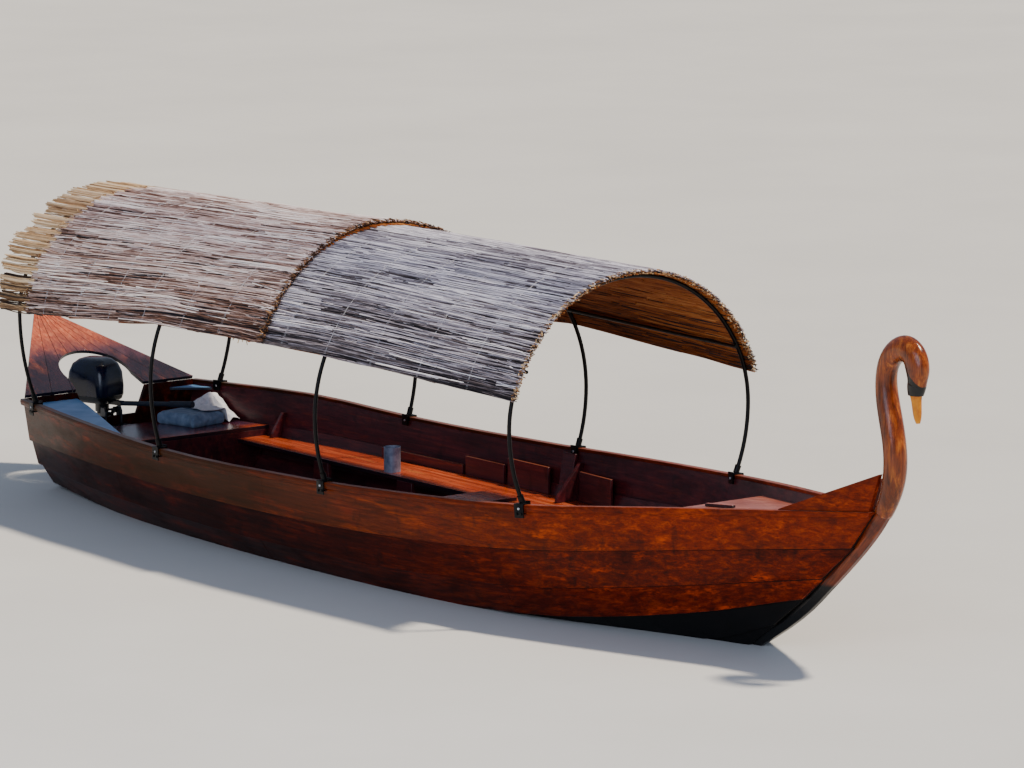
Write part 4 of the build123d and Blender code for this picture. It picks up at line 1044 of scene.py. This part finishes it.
class BOAT_OT_outboard(bpy.types.Operator):
    """Finish the outboard motor."""

    bl_idname = "boat.outboard"
    bl_label = "Outboard"

    def execute(self, context):
        engine = "outboard_engine"
        dressed("screw_clamp", "clamp_bracket", ["engine_metal"], 0.0015)
        dressed("tilt_swivel", "swivel_bracket", ["case"], 0.0015, "outboard_bracket")
        dressed("leg", "engine_leg", ["case"], 0.002, engine)
        dressed("engine_pan", "cowl_lower", ["case"], 0.002, engine)
        dressed("engine_cowl", "cowl_upper", ["cowl"], 0.003, engine, smooth=50)
        dressed("screw", "propeller", ["bronze"], 0.0006, "propeller_hub")
        dressed("tiller_handle", "tiller", ["grip"], 0.002, "tiller_arm", shape=stouter)
        return {"FINISHED"}


def baked(obj):
    """The mesh that an object's modifiers make of it."""
    return bpy.data.meshes.new_from_object(obj.evaluated_get(bpy.context.evaluated_depsgraph_get()))


def stuffed(node, voxel=0.006, squeeze=0.004, pressure=4.0, most=0.014, frames=20):
    """A filled cover: cloth under pressure from inside, from an even and slightly slimmer copy of a node.

    No point moves further than most, and none goes below the node's underside.
    """
    bm = cad_copy(node)
    mesh = bpy.data.meshes.new("scratch")
    bm.to_mesh(mesh)
    bm.free()
    obj = bpy.data.objects.new("scratch", mesh)
    bpy.context.scene.collection.objects.link(obj)
    grid = obj.modifiers.new("grid", "REMESH")
    grid.mode = "VOXEL"
    grid.voxel_size = voxel
    slim = baked(obj)
    for v in slim.vertices:
        v.co -= v.normal * squeeze
    obj.modifiers.clear()
    obj.data = slim
    rest = [v.co.copy() for v in slim.vertices]
    cloth = obj.modifiers.new("cover", "CLOTH")
    cloth.settings.use_pressure = True
    cloth.settings.uniform_pressure_force = pressure
    cloth.settings.shrink_min = -0.03
    cloth.settings.tension_stiffness = 12
    cloth.settings.bending_stiffness = 0.3
    cloth.settings.effector_weights.gravity = 0
    scene = bpy.context.scene
    for frame_now in range(1, frames + 1):
        scene.frame_set(frame_now)
    mesh = baked(obj)
    scene.frame_set(1)
    bm = bmesh.new()
    bm.from_mesh(mesh)
    bm.verts.ensure_lookup_table()
    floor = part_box(node)[0][2]
    for v, was in zip(bm.verts, rest):
        move = v.co - was
        if move.length > most:
            v.co = was + move * (most / move.length)
        v.co.z = max(v.co.z, floor)
    bmesh.ops.smooth_vert(bm, verts=bm.verts, factor=0.5, use_axis_x=True, use_axis_y=True, use_axis_z=True)
    bpy.data.objects.remove(obj)
    return bm


def throw_height(x, y):
    """Height of the throw: a heap that falls from its peak to the cushion and the seat, in folds."""
    runs = (max(x - THROW_PEAK.x, 0.0), max(THROW_PEAK.x - x, 0.0),
            max(THROW_PEAK.y - y, 0.0), max(y - THROW_PEAK.y, 0.0))
    fall = sum(slope * run for slope, run in zip(THROW_FALL, runs))
    turn = math.atan2(y - THROW_PEAK.y, x - THROW_PEAK.x)
    reach = math.hypot(x - THROW_PEAK.x, y - THROW_PEAK.y)
    folds = 0.055 * reach * math.sin(9 * turn + 2.5 * noise.noise(Vector((x * 7, y * 7, 1.0))))
    folds += 0.006 * noise.noise(Vector((x * 30, y * 30, 4.0)))
    on_cushion = soft_step((CUSHION_EDGES[1] - y) / 0.02) * soft_step((CUSHION_EDGES[0] - x) / 0.02)
    floor = THROW_SEAT + (THROW_ON_CUSHION - THROW_SEAT) * on_cushion
    return max(THROW_PEAK.z - fall + folds, floor + 0.003 + 0.002 * math.sin(60 * x + 45 * y))


def draped_throw(thick=0.004):
    """The throw as a thin sheet that hangs from its peak."""
    (x0, y0), (x1, y1) = THROW_CORNERS
    bm = bmesh.new()
    bmesh.ops.create_grid(bm, x_segments=66, y_segments=52, size=0.5)
    for v in bm.verts:
        x = x0 + (x1 - x0) * (v.co.x + 0.5)
        y = y0 + (y1 - y0) * (v.co.y + 0.5)
        edge = 0.006 * noise.noise(Vector((x * 12, y * 12, 9.0)))
        v.co = (x + edge, y + edge, throw_height(x, y))
    bmesh.ops.recalc_face_normals(bm, faces=bm.faces)
    if sum(f.normal.z for f in bm.faces) < 0:
        bmesh.ops.reverse_faces(bm, faces=bm.faces)
    bmesh.ops.solidify(bm, geom=bm.faces[:], thickness=thick)
    return bm


class BOAT_OT_loose(bpy.types.Operator):
    """Make the cushion, the throw and the bailing can."""

    bl_idname = "boat.loose"
    bl_label = "Cushion, throw and can"

    def execute(self, context):
        # Woven cotton cover, matt, with a thread's relief drawn coarse enough to show; its blue-grey stands
        # for a pale cloth in the canopy's shade, as painted shade.
        cloth = even("woven_cotton_cushion_painted_shade", "#586f8c", "#7c90aa", size=50, roughness=0.85, relief=0.4,
                     speck=3)
        # Woven wool, off-white and matt, with a thicker thread.
        pale = even("woven_wool_throw", "#c4c6d0", "#e8e8ec", size=30, roughness=0.9, relief=0.5, speck=4)
        cushion = from_bmesh("cushion", stuffed("helm_cushion"), [cloth], smooth=180)
        cushion.modifiers.new("fine", "SUBSURF")
        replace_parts(cushion, "helm_cushion")

        throw = from_bmesh("throw_cloth", draped_throw(), [pale], smooth=180)
        throw.modifiers.new("fine", "SUBSURF")
        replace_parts(throw, "throw")
        dressed("bailer", "bailing_can", ["tin"], 0.001)
        return {"FINISHED"}


class BOAT_PT_panel(bpy.types.Panel):
    """Sizes, colours and steps of the boat."""

    bl_label = "Boat"
    bl_idname = "BOAT_PT_panel"
    bl_space_type = "VIEW_3D"
    bl_region_type = "UI"
    bl_category = "Boat"

    def draw(self, context):
        layout = self.layout
        for group in (context.scene.boat_sizes, context.scene.boat_finishes):
            for key in group.__annotations__:
                layout.prop(group, key)
        for step in STEPS:
            layout.operator(step.bl_idname)


STEPS = (BOAT_OT_stage, BOAT_OT_planking, BOAT_OT_swan, BOAT_OT_joinery, BOAT_OT_hoops, BOAT_OT_canopy,
         BOAT_OT_outboard, BOAT_OT_loose)
CLASSES = (BoatFinishes, BoatSizes) + STEPS + (BOAT_PT_panel,)


def register():
    for cls in CLASSES:
        bpy.utils.register_class(cls)
    bpy.types.Scene.boat_finishes = bpy.props.PointerProperty(type=BoatFinishes)
    bpy.types.Scene.boat_sizes = bpy.props.PointerProperty(type=BoatSizes)


def unregister():
    del bpy.types.Scene.boat_sizes
    del bpy.types.Scene.boat_finishes
    for cls in reversed(CLASSES):
        bpy.utils.unregister_class(cls)


def main():
    register()
    make_finishes(bpy.context.scene.boat_finishes)
    bpy.ops.boat.stage()
    bpy.ops.boat.planking()
    bpy.ops.boat.swan()
    bpy.ops.boat.joinery()
    bpy.ops.boat.hoops()
    bpy.ops.boat.canopy()
    bpy.ops.boat.outboard()
    bpy.ops.boat.loose()


if __name__ == "__main__":
    main()
